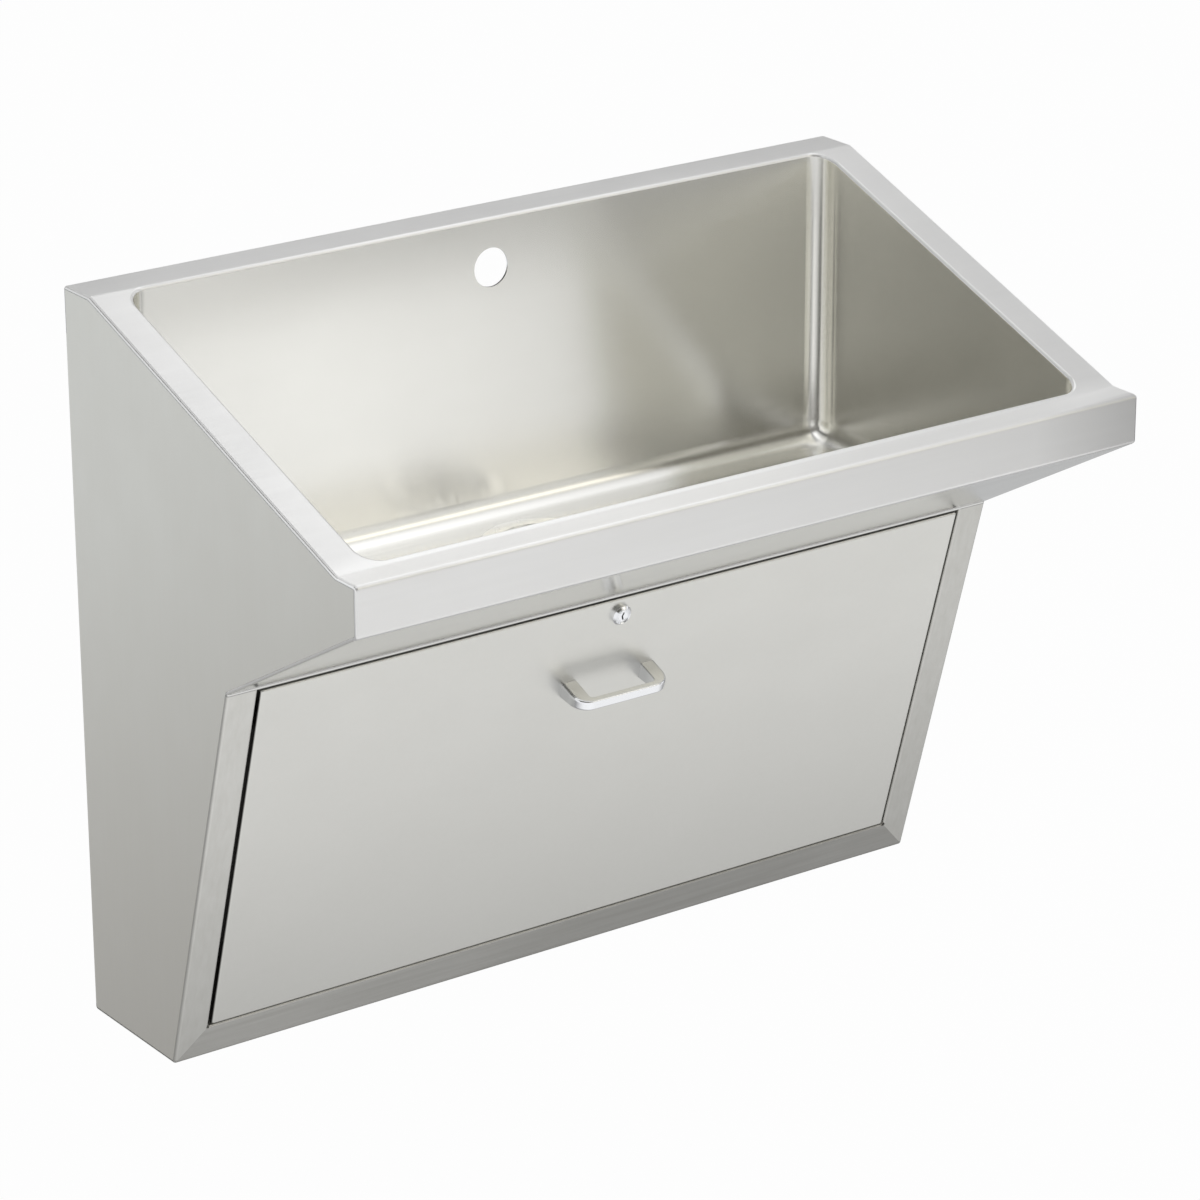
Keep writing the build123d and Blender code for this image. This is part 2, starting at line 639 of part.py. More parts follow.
def pull_handle():
    """A cast pull: two flat-faced feet that taper into a bar rounded towards the hand."""
    half = HANDLE_WIDTH / 2
    finger = half - HANDLE_FOOT_LENGTH
    under_bar = HANDLE_REACH - HANDLE_BAR
    plan = [
        (-half, 0),
        (-finger, 0),
        (-finger, under_bar),
        (finger, under_bar),
        (finger, 0),
        (half, 0),
        (half, HANDLE_REACH),
        (-half, HANDLE_REACH),
    ]
    inner = HANDLE_INNER_CORNER
    outer = HANDLE_CORNER
    radii = [0, 0, inner, inner, 0, 0, outer, outer]
    shape = Plane.XZ * FilletPolyline(*plan, radius=radii, close=True)
    foot = HANDLE_FOOT_HEIGHT / 2
    bar = HANDLE_BAR_HEIGHT / 2
    side = [(-foot, 0), (foot, 0), (bar, HANDLE_REACH), (-bar, HANDLE_REACH)]
    taper = Plane.YZ * Polyline(*side, close=True)
    form = extrude(make_face(shape), HANDLE_FOOT_HEIGHT, both=True)
    form &= extrude(make_face(taper), HANDLE_WIDTH, both=True)

    def round_opening(edge):
        box = edge.bounding_box()
        across = max(abs(box.min.X), abs(box.max.X)) < finger + EDGE_MARGIN
        return across and box.max.Z < under_bar + EDGE_MARGIN

    def loose(edge):
        return edge.bounding_box().max.Z > EDGE_MARGIN

    outside = [edge for edge in form.edges() if loose(edge) and not round_opening(edge)]
    form = fillet(outside, HANDLE_OUTER_EDGE)
    inside = [edge for edge in form.edges() if loose(edge) and round_opening(edge)]
    form = fillet(inside, HANDLE_INNER_EDGE)
    for x in (-HANDLE_SCREW_OFFSET, HANDLE_SCREW_OFFSET):
        depth = HANDLE_SCREW_DEPTH + SCREW_RUNOUT
        hole = Cylinder(HANDLE_SCREW_RADIUS + SCREW_CLEARANCE, 2 * depth)
        form -= Pos(x, 0, 0) * hole
    return on_panel(HANDLE_HEIGHT) * form


def handle_screws():
    """The two screws that hold the pull from inside the access panel."""
    under = -PANEL_SHEET
    outline = [
        (0, HANDLE_SCREW_DEPTH),
        (HANDLE_SCREW_RADIUS, HANDLE_SCREW_DEPTH),
        (HANDLE_SCREW_RADIUS, under),
        (SCREW_HEAD_RADIUS, under),
        (SCREW_HEAD_RADIUS - SCREW_HEAD_BEVEL, under - SCREW_HEAD_HEIGHT),
        (0, under - SCREW_HEAD_HEIGHT),
    ]
    screw = turned(outline)
    return Compound([
        on_panel(HANDLE_HEIGHT) * (Pos(x, 0, 0) * screw)
        for x in (-HANDLE_SCREW_OFFSET, HANDLE_SCREW_OFFSET)
    ])


def lock_barrel(grow, low, high):
    """The flat-sided barrel of the lock, grown by a clearance, between two depths."""
    round_barrel = Circle(LOCK_BARREL_RADIUS + grow)
    flats = Rectangle(2 * (LOCK_BARREL_FLAT + grow), 4 * LOCK_BARREL_RADIUS)
    return Pos(0, 0, low) * extrude(round_barrel & flats, high - low)


def on_lock(shape):
    """A shape drawn about the lock's own centre, set on the access panel."""
    return on_panel(LOCK_HEIGHT) * shape


def lock_housing():
    """The fixed part of the cam lock: a raised ring outside and a barrel inside."""
    recess = LOCK_FACE_RISE - PLUG_RECESS
    head = turned([
        (0, 0),
        (LOCK_RIM_RADIUS, 0),
        (LOCK_RIM_RADIUS, LOCK_FACE_RISE - LOCK_RIM_BEVEL),
        (LOCK_RIM_RADIUS - LOCK_RIM_BEVEL, LOCK_FACE_RISE),
        (PLUG_RADIUS + PLUG_LAND, LOCK_FACE_RISE),
        (PLUG_RADIUS + PLUG_LAND, recess),
        (0, recess),
    ])
    barrel = lock_barrel(0, -LOCK_BARREL_LENGTH, LOCK_FACE_RISE / 4)
    bore = Cylinder(PLUG_RADIUS + PLUG_CLEARANCE, 3 * LOCK_BARREL_LENGTH)
    return on_lock(head + barrel - bore)


def lock_nut():
    """The nut that clamps the lock against the inside of the access panel."""
    low = -PANEL_SHEET - LOCK_NUT_HEIGHT
    nut = hexagon(LOCK_NUT_FLATS, low, -PANEL_SHEET)
    return on_lock(nut - Cylinder(LOCK_BARREL_RADIUS + THREAD_CLEARANCE, LOCK_BARREL_LENGTH))


def lock_plug():
    """The keyed plug that turns in the housing, with a square tail for the cam."""
    face = LOCK_FACE_RISE - PLUG_RECESS
    plug = Pos(0, 0, -LOCK_BARREL_LENGTH) * extrude(
        Circle(PLUG_RADIUS), face + LOCK_BARREL_LENGTH
    )
    tail_end = CAM_Z - CAM_THICKNESS
    square = Rectangle(PLUG_TAIL, PLUG_TAIL)
    tail = Pos(0, 0, tail_end) * extrude(square, -LOCK_BARREL_LENGTH - tail_end)
    keyway = Pos(0, 0, face) * Box(KEYWAY_WIDTH, KEYWAY_HEIGHT, 2 * KEYWAY_DEPTH)
    thread = Pos(0, 0, tail_end) * Cylinder(
        CAM_SCREW_RADIUS + SCREW_CLEARANCE, 2 * (CAM_SCREW_LENGTH + SCREW_RUNOUT)
    )
    return on_lock(plug + tail - keyway - thread)


def lock_cam():
    """The arm that turns up behind the strike."""
    tip = CAM_LENGTH - CAM_TIP_WIDTH / 2
    outline = Circle(CAM_WIDTH / 2).edges() + (Pos(tip, 0) * Circle(CAM_TIP_WIDTH / 2)).edges()
    opening = PLUG_TAIL + 2 * SCREW_CLEARANCE
    arm = make_hull(outline) - Rectangle(opening, opening)
    return on_lock(Pos(0, 0, CAM_Z - CAM_THICKNESS) * extrude(arm, CAM_THICKNESS))


def cam_screw():
    """The screw that holds the cam on the tail of the plug."""
    seat = CAM_Z - CAM_THICKNESS
    return on_lock(
        turned([
            (0, seat + CAM_SCREW_LENGTH),
            (CAM_SCREW_RADIUS, seat + CAM_SCREW_LENGTH),
            (CAM_SCREW_RADIUS, seat),
            (CAM_SCREW_HEAD_RADIUS, seat),
            (CAM_SCREW_HEAD_RADIUS, seat - CAM_SCREW_HEAD_HEIGHT / 2),
            (CAM_SCREW_HEAD_RADIUS - SCREW_HEAD_BEVEL, seat - CAM_SCREW_HEAD_HEIGHT),
            (0, seat - CAM_SCREW_HEAD_HEIGHT),
        ])
    )


def strike_bracket():
    """An angle on the head flange whose leg stands in front of the locked cam."""
    x_range = (LATCH_SHIFT - STRIKE_WIDTH / 2, LATCH_SHIFT + STRIKE_WIDTH / 2)
    back = -STRIKE_OFFSET - STRIKE_SHEET
    foot_top = FRONT_HEIGHT + STRIKE_SHEET
    low = LOCK_HEIGHT + LOCK_BARREL_RADIUS + STRIKE_CLEARANCE
    foot = block(x_range, (FRONT_HEIGHT, foot_top), (back, back + STRIKE_FOOT))
    leg = block(x_range, (low, foot_top), (back, -STRIKE_OFFSET))
    tip = leg.edges().filter_by(Axis.Z).group_by(Axis.Y)[0]
    return FRONT * (fillet(tip, STRIKE_SHEET) + foot)


def door_stop(side):
    """An angle on the post flange that reaches in behind the access panel."""
    h_range = (STOP_HEIGHT - STOP_LENGTH / 2, STOP_HEIGHT + STOP_LENGTH / 2)
    fixed = OPENING_HALF + SHEET
    outer = fixed + STOP_SHEET
    back = STOP_Z - STOP_SHEET
    leg = block(sorted((side * fixed, side * outer)), h_range, (back, -SHEET - SEAM))
    arm = block(sorted((side * (outer - STOP_REACH), side * outer)), h_range, (back, STOP_Z))
    return FRONT * (leg + arm)


def door_bumpers():
    """A rubber button on each stop."""
    height = -PANEL_DEPTH - BUMPER_CLEARANCE - STOP_Z
    button = turned([
        (0, 0),
        (BUMPER_RADIUS, 0),
        (BUMPER_RADIUS, height / 2),
        (BUMPER_RADIUS - height / 4, height),
        (0, height),
    ])
    return Compound([
        FRONT * (Pos(side * BUMPER_OFFSET, STOP_HEIGHT, STOP_Z) * button) for side in (-1, 1)
    ])


def wall_hanger(side):
    """A joggled bar bolted to the wall; the rear rim hooks over its raised edge."""
    behind = SHEET + HANGER_CLEARANCE
    plate = HANGER_PLATE
    bevel = plate / 3
    step = BACK_FLANGE + HANGER_STEP
    foot = HANGER_BOLT_DROP + HANGER_BOLT_RISE / 2 + HANGER_END_MARGIN
    section = [
        (-behind - bevel, -behind),
        (-behind, -behind - bevel),
        (-behind, -step),
        (0, -step - behind),
        (0, -foot),
        (-plate, -foot),
        (-plate, -step - behind - bevel),
        (-behind - plate, -step - bevel),
        (-behind - plate, -behind),
    ]
    low = side * HANGER_BOLT_SPACING / 2 - HANGER_WIDTH / 2
    bar = along(side_face(section), low, low + HANGER_WIDTH)
    for rise in (-HANGER_BOLT_RISE / 2, HANGER_BOLT_RISE / 2):
        place = Pos(side * HANGER_BOLT_SPACING / 2, 0, rise - HANGER_BOLT_DROP)
        bar -= place * Rot(90, 0, 0) * Cylinder(HANGER_BOLT_RADIUS, 4 * plate)
    return bar


def sound_pad(side):
    """A damping pad stuck under the level floor of the bowl."""
    outline = Rectangle(PAD_OUTER - PAD_INNER, PAD_FRONT - PAD_REAR)
    pad = extrude(fillet(outline.vertices(), PAD_CORNER), -PAD_THICKNESS)
    x = side * (PAD_INNER + PAD_OUTER) / 2
    return Pos(x, -(PAD_REAR + PAD_FRONT) / 2, FLOOR_UNDERSIDE) * pad


def on_drain(shape, height=0):
    """A shape drawn about the drain's own axis, set on the floor of the bowl."""
    return Pos(0, -DRAIN_SETBACK, FLOOR_TOP + height) * shape


def drain_body():
    """The drain cup: a flange in the bowl, a ledge for the grid and a threaded spigot."""
    bore = CUP_RADIUS - CUP_WALL
    ledge = GRID_Z - GRID_LEDGE
    body = turned([
        (bore, DRAIN_FLANGE_THICKNESS),
        (DRAIN_FLANGE_RADIUS - DRAIN_FLANGE_THICKNESS, DRAIN_FLANGE_THICKNESS),
        (DRAIN_FLANGE_RADIUS, 0),
        (CUP_RADIUS, 0),
        (CUP_RADIUS, -CUP_DEPTH),
        (SPIGOT_RADIUS, -CUP_DEPTH),
        (SPIGOT_RADIUS, SPIGOT_FOOT),
        (SPIGOT_BORE_RADIUS, SPIGOT_FOOT),
        (SPIGOT_BORE_RADIUS, -CUP_DEPTH + CUP_WALL),
        (bore, -CUP_DEPTH + CUP_WALL),
        (bore, ledge),
        (bore - GRID_LEDGE, GRID_Z),
        (bore, GRID_Z),
    ])
    low = GRID_Z - GRID_LEDGE - SPIDER_HEIGHT
    spider = Pos(0, 0, low) * extrude(Circle(SPIDER_BOSS_RADIUS), GRID_Z - low)
    for turn in (0, 90):
        arm = Box(2 * bore + CUP_WALL, SPIDER_ARM, SPIDER_HEIGHT)
        spider += Pos(0, 0, low + SPIDER_HEIGHT / 2) * Rot(0, 0, turn) * arm
    thread = Pos(0, 0, GRID_Z) * Cylinder(
        GRID_SCREW_RADIUS + SCREW_CLEARANCE, 2 * GRID_SCREW_LENGTH
    )
    return on_drain(body + spider - thread)


def drain_grid():
    """The dished-edge strainer plate with rings of holes."""
    radius = CUP_RADIUS - CUP_WALL - GRID_CLEARANCE
    plate = Pos(0, 0, GRID_Z) * extrude(Circle(radius), GRID_THICKNESS)
    drill = Cylinder(GRID_HOLE_RADIUS, 4 * GRID_THICKNESS)
    holes = [
        Rot(0, 0, 360 * index / count) * Pos(share * radius, 0, GRID_Z) * drill
        for share, count in GRID_RINGS
        for index in range(count)
    ]
    centre = Pos(0, 0, GRID_Z) * Cylinder(
        GRID_SCREW_RADIUS + SCREW_CLEARANCE, 4 * GRID_THICKNESS
    )
    return on_drain(plate - holes - centre)


def drain_grid_screw():
    """The screw that holds the grid to the spider."""
    seat = GRID_Z + GRID_THICKNESS
    foot = GRID_Z - GRID_SCREW_LENGTH + SCREW_RUNOUT
    return on_drain(
        turned([
            (0, foot),
            (GRID_SCREW_RADIUS, foot),
            (GRID_SCREW_RADIUS, seat),
            (GRID_SCREW_HEAD_RADIUS, seat),
            (GRID_SCREW_HEAD_RADIUS - SCREW_HEAD_BEVEL, seat + GRID_THICKNESS),
            (0, seat + GRID_THICKNESS),
        ])
    )


def drain_gasket():
    """The rubber gasket under the floor of the bowl."""
    inner = CUP_RADIUS + THREAD_CLEARANCE
    return on_drain(ring(GASKET_RADIUS, inner, GASKET_FOOT, -SHEET))


def drain_friction_washer():
    """The thin washer between the gasket and the locknut."""
    inner = CUP_RADIUS + THREAD_CLEARANCE
    return on_drain(ring(GASKET_RADIUS, inner, WASHER_FOOT, GASKET_FOOT))


def drain_locknut():
    """The lugged nut that pulls the drain cup down on the bowl."""
    low = WASHER_FOOT - LOCKNUT_HEIGHT
    nut = extrude(Circle(LOCKNUT_RADIUS), LOCKNUT_HEIGHT)
    half = LOCKNUT_HEIGHT / 2
    lug = block((CUP_RADIUS, LOCKNUT_LUG_RADIUS), (-half, half), (0, LOCKNUT_HEIGHT))
    for index in range(LOCKNUT_LUGS):
        nut += Rot(0, 0, 360 * index / LOCKNUT_LUGS) * lug
    nut -= Cylinder(CUP_RADIUS + THREAD_CLEARANCE, 4 * LOCKNUT_HEIGHT)
    return on_drain(nut, low)


def tailpiece_washer():
    """The washer between the spigot and the flange of the tailpiece."""
    return on_drain(
        ring(TAILPIECE_FLANGE_RADIUS, SPIGOT_BORE_RADIUS, TAILPIECE_TOP, SPIGOT_FOOT)
    )


def tailpiece():
    """The outlet tube that the trap slips on."""
    bore = TAILPIECE_RADIUS - TAILPIECE_WALL
    shoulder = TAILPIECE_TOP - TAILPIECE_FLANGE
    return on_drain(
        turned([
            (bore, TAILPIECE_TOP),
            (TAILPIECE_FLANGE_RADIUS, TAILPIECE_TOP),
            (TAILPIECE_FLANGE_RADIUS, shoulder),
            (TAILPIECE_RADIUS, shoulder),
            (TAILPIECE_RADIUS, TAILPIECE_TOP - TAILPIECE_LENGTH),
            (bore, TAILPIECE_TOP - TAILPIECE_LENGTH),
        ])
    )


def coupling_nut():
    """The nut that draws the tailpiece up to the spigot."""
    shoulder = TAILPIECE_TOP - TAILPIECE_FLANGE
    low = shoulder - COUPLING_NUT_SHOULDER
    nut = hexagon(COUPLING_NUT_FLATS, low, SPIGOT_FOOT + COUPLING_NUT_THREAD)
    nut -= ring(SPIGOT_RADIUS + THREAD_CLEARANCE, 0, shoulder, SPIGOT_FOOT + CUT_MARGIN * 2)
    nut -= ring(TAILPIECE_RADIUS + THREAD_CLEARANCE, 0, low - CUT_MARGIN, shoulder)
    return on_drain(nut)


def all_pieces():
    """Every piece by name, in the place it has when the sink is closed."""
    rim, bowl = rim_and_bowl()
    pieces = {
        "rim_deck": rim,
        "bowl": bowl,
        "front_underside_panel": front_underside_panel(),
        "bottom_pan": bottom_pan(),
        "strike_bracket": strike_bracket(),
        "door_bumpers": door_bumpers(),
        "drain_body": drain_body(),
        "drain_grid": drain_grid(),
        "drain_grid_screw": drain_grid_screw(),
        "drain_gasket": drain_gasket(),
        "drain_friction_washer": drain_friction_washer(),
        "drain_locknut": drain_locknut(),
        "tailpiece_washer": tailpiece_washer(),
        "tailpiece": tailpiece(),
        "coupling_nut": coupling_nut(),
        "access_panel": access_panel(),
        "pull_handle": pull_handle(),
        "handle_screws": handle_screws(),
        "lock_housing": lock_housing(),
        "lock_nut": lock_nut(),
        "lock_plug": lock_plug(),
        "lock_cam": lock_cam(),
        "cam_screw": cam_screw(),
    }
    for side, word in ((-1, "left"), (1, "right")):
        pieces[f"{word}_end_panel"] = end_panel(side)
        pieces[f"{word}_front_post"] = front_post(side)
        pieces[f"{word}_door_stop"] = door_stop(side)
        pieces[f"{word}_wall_hanger"] = wall_hanger(side)
        pieces[f"{word}_sound_pad"] = sound_pad(side)
        pieces[f"{word}_panel_stiffener"] = panel_stiffener(side)
        pieces[f"{word}_locating_tab"] = locating_tab(side)
    return pieces


def main():
    """Write each piece to its own file."""
    os.makedirs("parts", exist_ok=True)
    for name, piece in all_pieces().items():
        export_step(Pos(0, 0, HANGER_BOLT_DROP) * piece, f"parts/{name}.step")


if __name__ == "__main__":
    main()
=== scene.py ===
import logging
from dataclasses import dataclass, field
from enum import Enum
from functools import cache
from math import cos, pi, radians, sin

import bmesh
import bpy
import numpy as np
from mathutils import Euler, Matrix


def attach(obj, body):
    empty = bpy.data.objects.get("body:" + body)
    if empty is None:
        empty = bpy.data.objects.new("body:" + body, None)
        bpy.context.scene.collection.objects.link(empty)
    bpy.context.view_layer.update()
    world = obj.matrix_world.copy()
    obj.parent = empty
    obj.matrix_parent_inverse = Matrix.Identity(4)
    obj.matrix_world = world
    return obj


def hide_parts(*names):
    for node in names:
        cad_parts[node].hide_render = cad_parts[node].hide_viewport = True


# Wall-hung scrub sink in satin stainless sheet. Every piece is in metres, in the frame of
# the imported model: zero at the middle of the hanger bolts, X along the sink, Z up.

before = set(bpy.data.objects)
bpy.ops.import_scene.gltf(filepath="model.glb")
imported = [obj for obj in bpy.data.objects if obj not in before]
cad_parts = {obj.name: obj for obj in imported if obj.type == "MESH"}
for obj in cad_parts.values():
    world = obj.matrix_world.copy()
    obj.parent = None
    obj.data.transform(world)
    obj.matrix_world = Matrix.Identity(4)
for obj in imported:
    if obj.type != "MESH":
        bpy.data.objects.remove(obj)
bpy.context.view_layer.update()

logging.basicConfig(level=logging.INFO, format="%(name)s: %(message)s")
log = logging.getLogger("scrub_sink")

Triple = tuple[float, float, float]
Colour = Triple
Place = Triple
Span = tuple[float, float]
Socket = bpy.types.NodeSocket

MM = 0.001
WELD = 0.002 * MM
TINY = 1e-9
LEAN = 0.2826351
LENGTHWAYS = (1.0, 0.0, 0.0)
TO_THE_WALL = (0.0, 1.0, 0.0)
FORWARD_AND_RIGHT = (1.0, -10.0, 0.0)
UP_THE_LEAN = (0.0, -sin(LEAN), cos(LEAN))
OUT_OF_THE_LEAN = (0.0, -cos(LEAN), -sin(LEAN))
WHITE = (1.0, 1.0, 1.0)
SIDES = ("left", "right")


class Grain(Enum):
    """The way a sheet was brushed; the value is the direction of its lines."""

    LENGTHWISE = (1.0, 0.0, 0.0)
    UPRIGHT = (0.0, 0.0, 1.0)
    EVEN = (0.0, 0.0, 0.0)

    def stretch(self, across: float) -> Triple:
        """Factors that draw a pattern out along the lines, by its fineness across them."""
        return tuple(1.0 if along else across for along in self.value)


class Nodes:
    """A material's node tree with short ways to add and join nodes."""

    def __init__(self, tree: bpy.types.NodeTree) -> None:
        """Takes over a node tree and empties it."""
        self.tree = tree
        tree.nodes.clear()

    def add(self, kind: str, **values: object) -> bpy.types.Node:
        """Adds one node.

        Args:
            kind: The node's type.
            **values: Properties by their name, and input values or sockets to join by
                the input's name with underscores for spaces, or by _ and its number.

        Returns:
            The new node.
        """
        node = self.tree.nodes.new(kind)
        for name, value in values.items():
            if hasattr(node, name) and name not in node.inputs:
                setattr(node, name, value)
                continue
            socket = node.inputs[int(name[1:]) if name[1:].isdigit() else name.replace("_", " ")]
            if isinstance(value, Socket):
                self.tree.links.new(value, socket)
            else:
                socket.default_value = value
        return node

    def place(self) -> Socket:
        """Each point's place in the frame."""
        return self.add("ShaderNodeTexCoord").outputs["Object"]

    def stretched(self, vector: Socket, scale: Triple) -> Socket:
        """Coordinates stretched by a factor on each axis."""
        return self.add("ShaderNodeMapping", Vector=vector, Scale=scale).outputs["Vector"]

    def spread(self, value: Socket, low: float, high: float,
               source: Span = (0.3, 0.7)) -> Socket:
        """A value moved from a source range to another range, held inside it."""
        node = self.add("ShaderNodeMapRange", Value=value, From_Min=source[0],
                        From_Max=source[1], To_Min=low, To_Max=high)
        return node.outputs["Result"]

    def maths(self, operation: str, first: object, second: object) -> Socket:
        """The result of one sum on two values or sockets."""
        node = self.add("ShaderNodeMath", operation=operation, _0=first, _1=second)
        return node.outputs["Value"]

    def ramp(self, value: Socket, levels: tuple[float, ...], peak: float) -> Socket:
        """A level that runs evenly from stop to stop as a value goes from 0 to 1.

        Args:
            value: The value from 0 to 1.
            levels: The level at each stop; the stops are evenly spaced.
            peak: The highest level that the stops may have.

        Returns:
            The level.
        """
        node = self.add("ShaderNodeValToRGB", _0=value)
        stops = node.color_ramp.elements
        for place in range(1, len(levels) - 1):
            stops.new(place / (len(levels) - 1))
        for stop, level in zip(stops, levels):
            stop.color = (level / peak, level / peak, level / peak, 1.0)
        return self.maths("MULTIPLY", node.outputs["Color"], peak)

    def mixed(self, share: object, first: object, second: object,
              blend: str = "MIX") -> Socket:
        """A colour between two colours, by a share."""
        node = self.add("ShaderNodeMix", data_type="RGBA", blend_type=blend, _0=share,
                        _6=first, _7=second)
        return node.outputs[2]

    def blended(self, share: object, first: Socket, second: Socket) -> Socket:
        """A surface between two surfaces, by a share."""
        return self.add("ShaderNodeMixShader", _0=share, _1=first, _2=second).outputs[0]

    def along(self, way: Triple) -> Socket:
        """How far each point lies along a direction from the frame's zero."""
        node = self.add("ShaderNodeVectorMath", operation="DOT_PRODUCT", _0=self.place(), _1=way)
        return node.outputs["Value"]

    def raised(self, height: Socket, strength: float, depth: float) -> Socket:
        """Normals that follow a pattern's height."""
        node = self.add("ShaderNodeBump", Height=height, Strength=strength, Distance=depth)
        return node.outputs["Normal"]

    def surface(self, shader: Socket) -> None:
        """Makes a shader the material's surface."""
        self.add("ShaderNodeOutputMaterial", Surface=shader)


def new_material(name: str) -> tuple[bpy.types.Material, Nodes]:
    """An empty node material.

    Args:
        name: The material's name.

    Returns:
        The material and its nodes.
    """
    material = bpy.data.materials.new(name)
    material.use_nodes = True
    return material, Nodes(material.node_tree)


def rgba(colour: Colour, factor: float = 1.0) -> tuple[float, float, float, float]:
    """A colour times a factor, with full alpha."""
    return tuple(min(channel * factor, 1.0) for channel in colour) + (1.0,)


@dataclass(frozen=True)
class Pattern:
    """A cloudy noise: its fineness, its layers, and how rough the finer layers are."""

    scale: float
    detail: float
    roughness: float

    def over(self, nodes: Nodes, place: Socket) -> Socket:
        """The pattern's value from 0 to 1 at each point."""
        node = nodes.add("ShaderNodeTexNoise", Vector=place, Scale=self.scale,
                         Detail=self.detail, Roughness=self.roughness)
        return node.outputs["Fac"]


FINE_LINES = Pattern(24.0, 5.0, 0.7)
COARSE_LINES = Pattern(5.0, 4.0, 0.6)
LONG_STREAKS = Pattern(7.0, 3.0, 0.6)
CLOUDS = Pattern(3.2, 4.0, 0.6)
SMEARS = Pattern(9.0, 6.0, 0.65)
HANDLING = Pattern(45.0, 5.0, 0.6)
POLISH_WAVES = Pattern(120.0, 2.0, 0.5)
DUST = Pattern(30.0, 5.0, 0.65)


@dataclass(frozen=True)
class Shade:
    """Painted light or shade: a slow change of a piece's tone along a direction, from one place
    to another.
    """

    way: Triple
    places: Span
    tones: Span
    tint: Colour = WHITE

    def over(self, nodes: Nodes, colour: Socket) -> Socket:
        """Lays this painted light or shade over a colour.

        Args:
            nodes: The material's nodes.
            colour: The colour without it.

        Returns:
            The colour times the tone at each point.
        """
        share = nodes.spread(nodes.along(self.way), 0.0, 1.0, self.places)
        tone = nodes.mixed(share, rgba(WHITE, self.tones[0]), rgba(self.tint, self.tones[1]))
        return nodes.mixed(1.0, colour, tone, "MULTIPLY")


@dataclass(frozen=True)
class SteelFinish:
    """Satin stainless: fine brush lines, slow clouding, and a few faint marks."""

    name: str
    grain: Grain = Grain.LENGTHWISE
    colour: Colour = (0.74, 0.735, 0.70)
    roughness: float = 0.36
    lines: float = 1.0
    streaks: float = 1.0
    clouding: float = 1.0
    marks: float = 0.5
    sheen: float = 0.7
    shades: tuple[Shade, ...] = ()
    line_stretch: float = 90.0
    even_stretch: float = 30.0
    streak_stretch: float = 28.0
    smear_stretch: Triple = (1.0, 2.5, 1.6)
    fine_share: float = 0.6
    ground_tone: float = 0.945
    line_tone: float = 0.06
    streak_tone: float = 0.12
    cloud_tone: float = 0.05
    mark_fineness: float = 7.0
    mark_size: Span = (0.012, 0.04)
    mark_share: float = 0.1
    mark_tone: float = 0.8
    line_gloss: Span = (-0.05, 0.06)
    smear_gloss: Span = (-0.02, 0.03)
    line_height: float = 0.35
    line_depth: float = 0.03 * MM
    sheen_turn: float = 0.25

    def brush_lines(self, nodes: Nodes, place: Socket) -> Socket:
        """The brush lines: fine over coarse, drawn out along the grain.

        Args:
            nodes: The material's nodes.
            place: Each point's place.

        Returns:
            A value that goes up and down across the lines.
        """
        across = self.even_stretch if self.grain is Grain.EVEN else self.line_stretch
        drawn = nodes.stretched(place, self.grain.stretch(across))
        fine = nodes.maths("MULTIPLY", FINE_LINES.over(nodes, drawn), self.fine_share)
        coarse = nodes.maths("MULTIPLY", COARSE_LINES.over(nodes, drawn), 1 - self.fine_share)
        return nodes.maths("ADD", fine, coarse)

    def base_colour(self, nodes: Nodes, place: Socket, lines: Socket) -> Socket:
        """The steel's colour under its lines, streaks, clouds, marks and painted shades.

        Args:
            nodes: The material's nodes.
            place: Each point's place.
            lines: The brush lines.

        Returns:
            The colour.
        """
        drawn = nodes.stretched(place, self.grain.stretch(self.streak_stretch))
        streaks = LONG_STREAKS.over(nodes, drawn)
        clouds = CLOUDS.over(nodes, place)
        bright = nodes.maths("ADD", nodes.spread(lines, 0.0, self.line_tone * self.lines),
                             nodes.spread(clouds, 0.0, self.cloud_tone * self.clouding))
        bright = nodes.maths("ADD", bright,
                             nodes.spread(streaks, 0.0, self.streak_tone * self.streaks))
        base = nodes.mixed(bright, rgba(self.colour, self.ground_tone), rgba(WHITE))
        cells = nodes.add("ShaderNodeTexVoronoi", Vector=place, Scale=self.mark_fineness,
                          feature="F1", Randomness=1.0).outputs["Distance"]
        mark = nodes.spread(cells, self.mark_share * self.marks, 0.0, self.mark_size)
        base = nodes.mixed(mark, base, rgba(self.colour, self.mark_tone))
        for shade in self.shades:
            base = shade.over(nodes, base)
        return base

    def gloss(self, nodes: Nodes, place: Socket, lines: Socket) -> Socket:
        """The steel's roughness, a little uneven over the lines and in slow smears.

        Args:
            nodes: The material's nodes.
            place: Each point's place.
            lines: The brush lines.

        Returns:
            The roughness.
        """
        smears = SMEARS.over(nodes, nodes.stretched(place, self.smear_stretch))
        low, high = self.line_gloss
        over_lines = nodes.spread(lines, low * self.lines, high * self.lines)
        low, high = self.smear_gloss
        return nodes.maths("ADD", over_lines,
                           nodes.spread(smears, self.roughness + low,
                                        self.roughness + high * self.clouding))

    def material(self) -> bpy.types.Material:
        """Builds the node material of this finish.

        Returns:
            The material.
        """
        material, nodes = new_material(self.name)
        place = nodes.place()
        lines = self.brush_lines(nodes, place)
        shader = nodes.add(
            "ShaderNodeBsdfPrincipled", Base_Color=self.base_colour(nodes, place, lines),
            Metallic=1.0, Roughness=self.gloss(nodes, place, lines),
            Normal=nodes.raised(lines, self.line_height * self.lines, self.line_depth))
        if self.grain is not Grain.EVEN:
            x, y, z = self.grain.value
            run = nodes.add("ShaderNodeCombineXYZ", _0=x, _1=y, _2=z)
            shader.inputs["Anisotropic"].default_value = self.sheen
            shader.inputs["Anisotropic Rotation"].default_value = self.sheen_turn
            nodes.tree.links.new(run.outputs[0], shader.inputs["Tangent"])
        nodes.surface(shader.outputs["BSDF"])
        return material


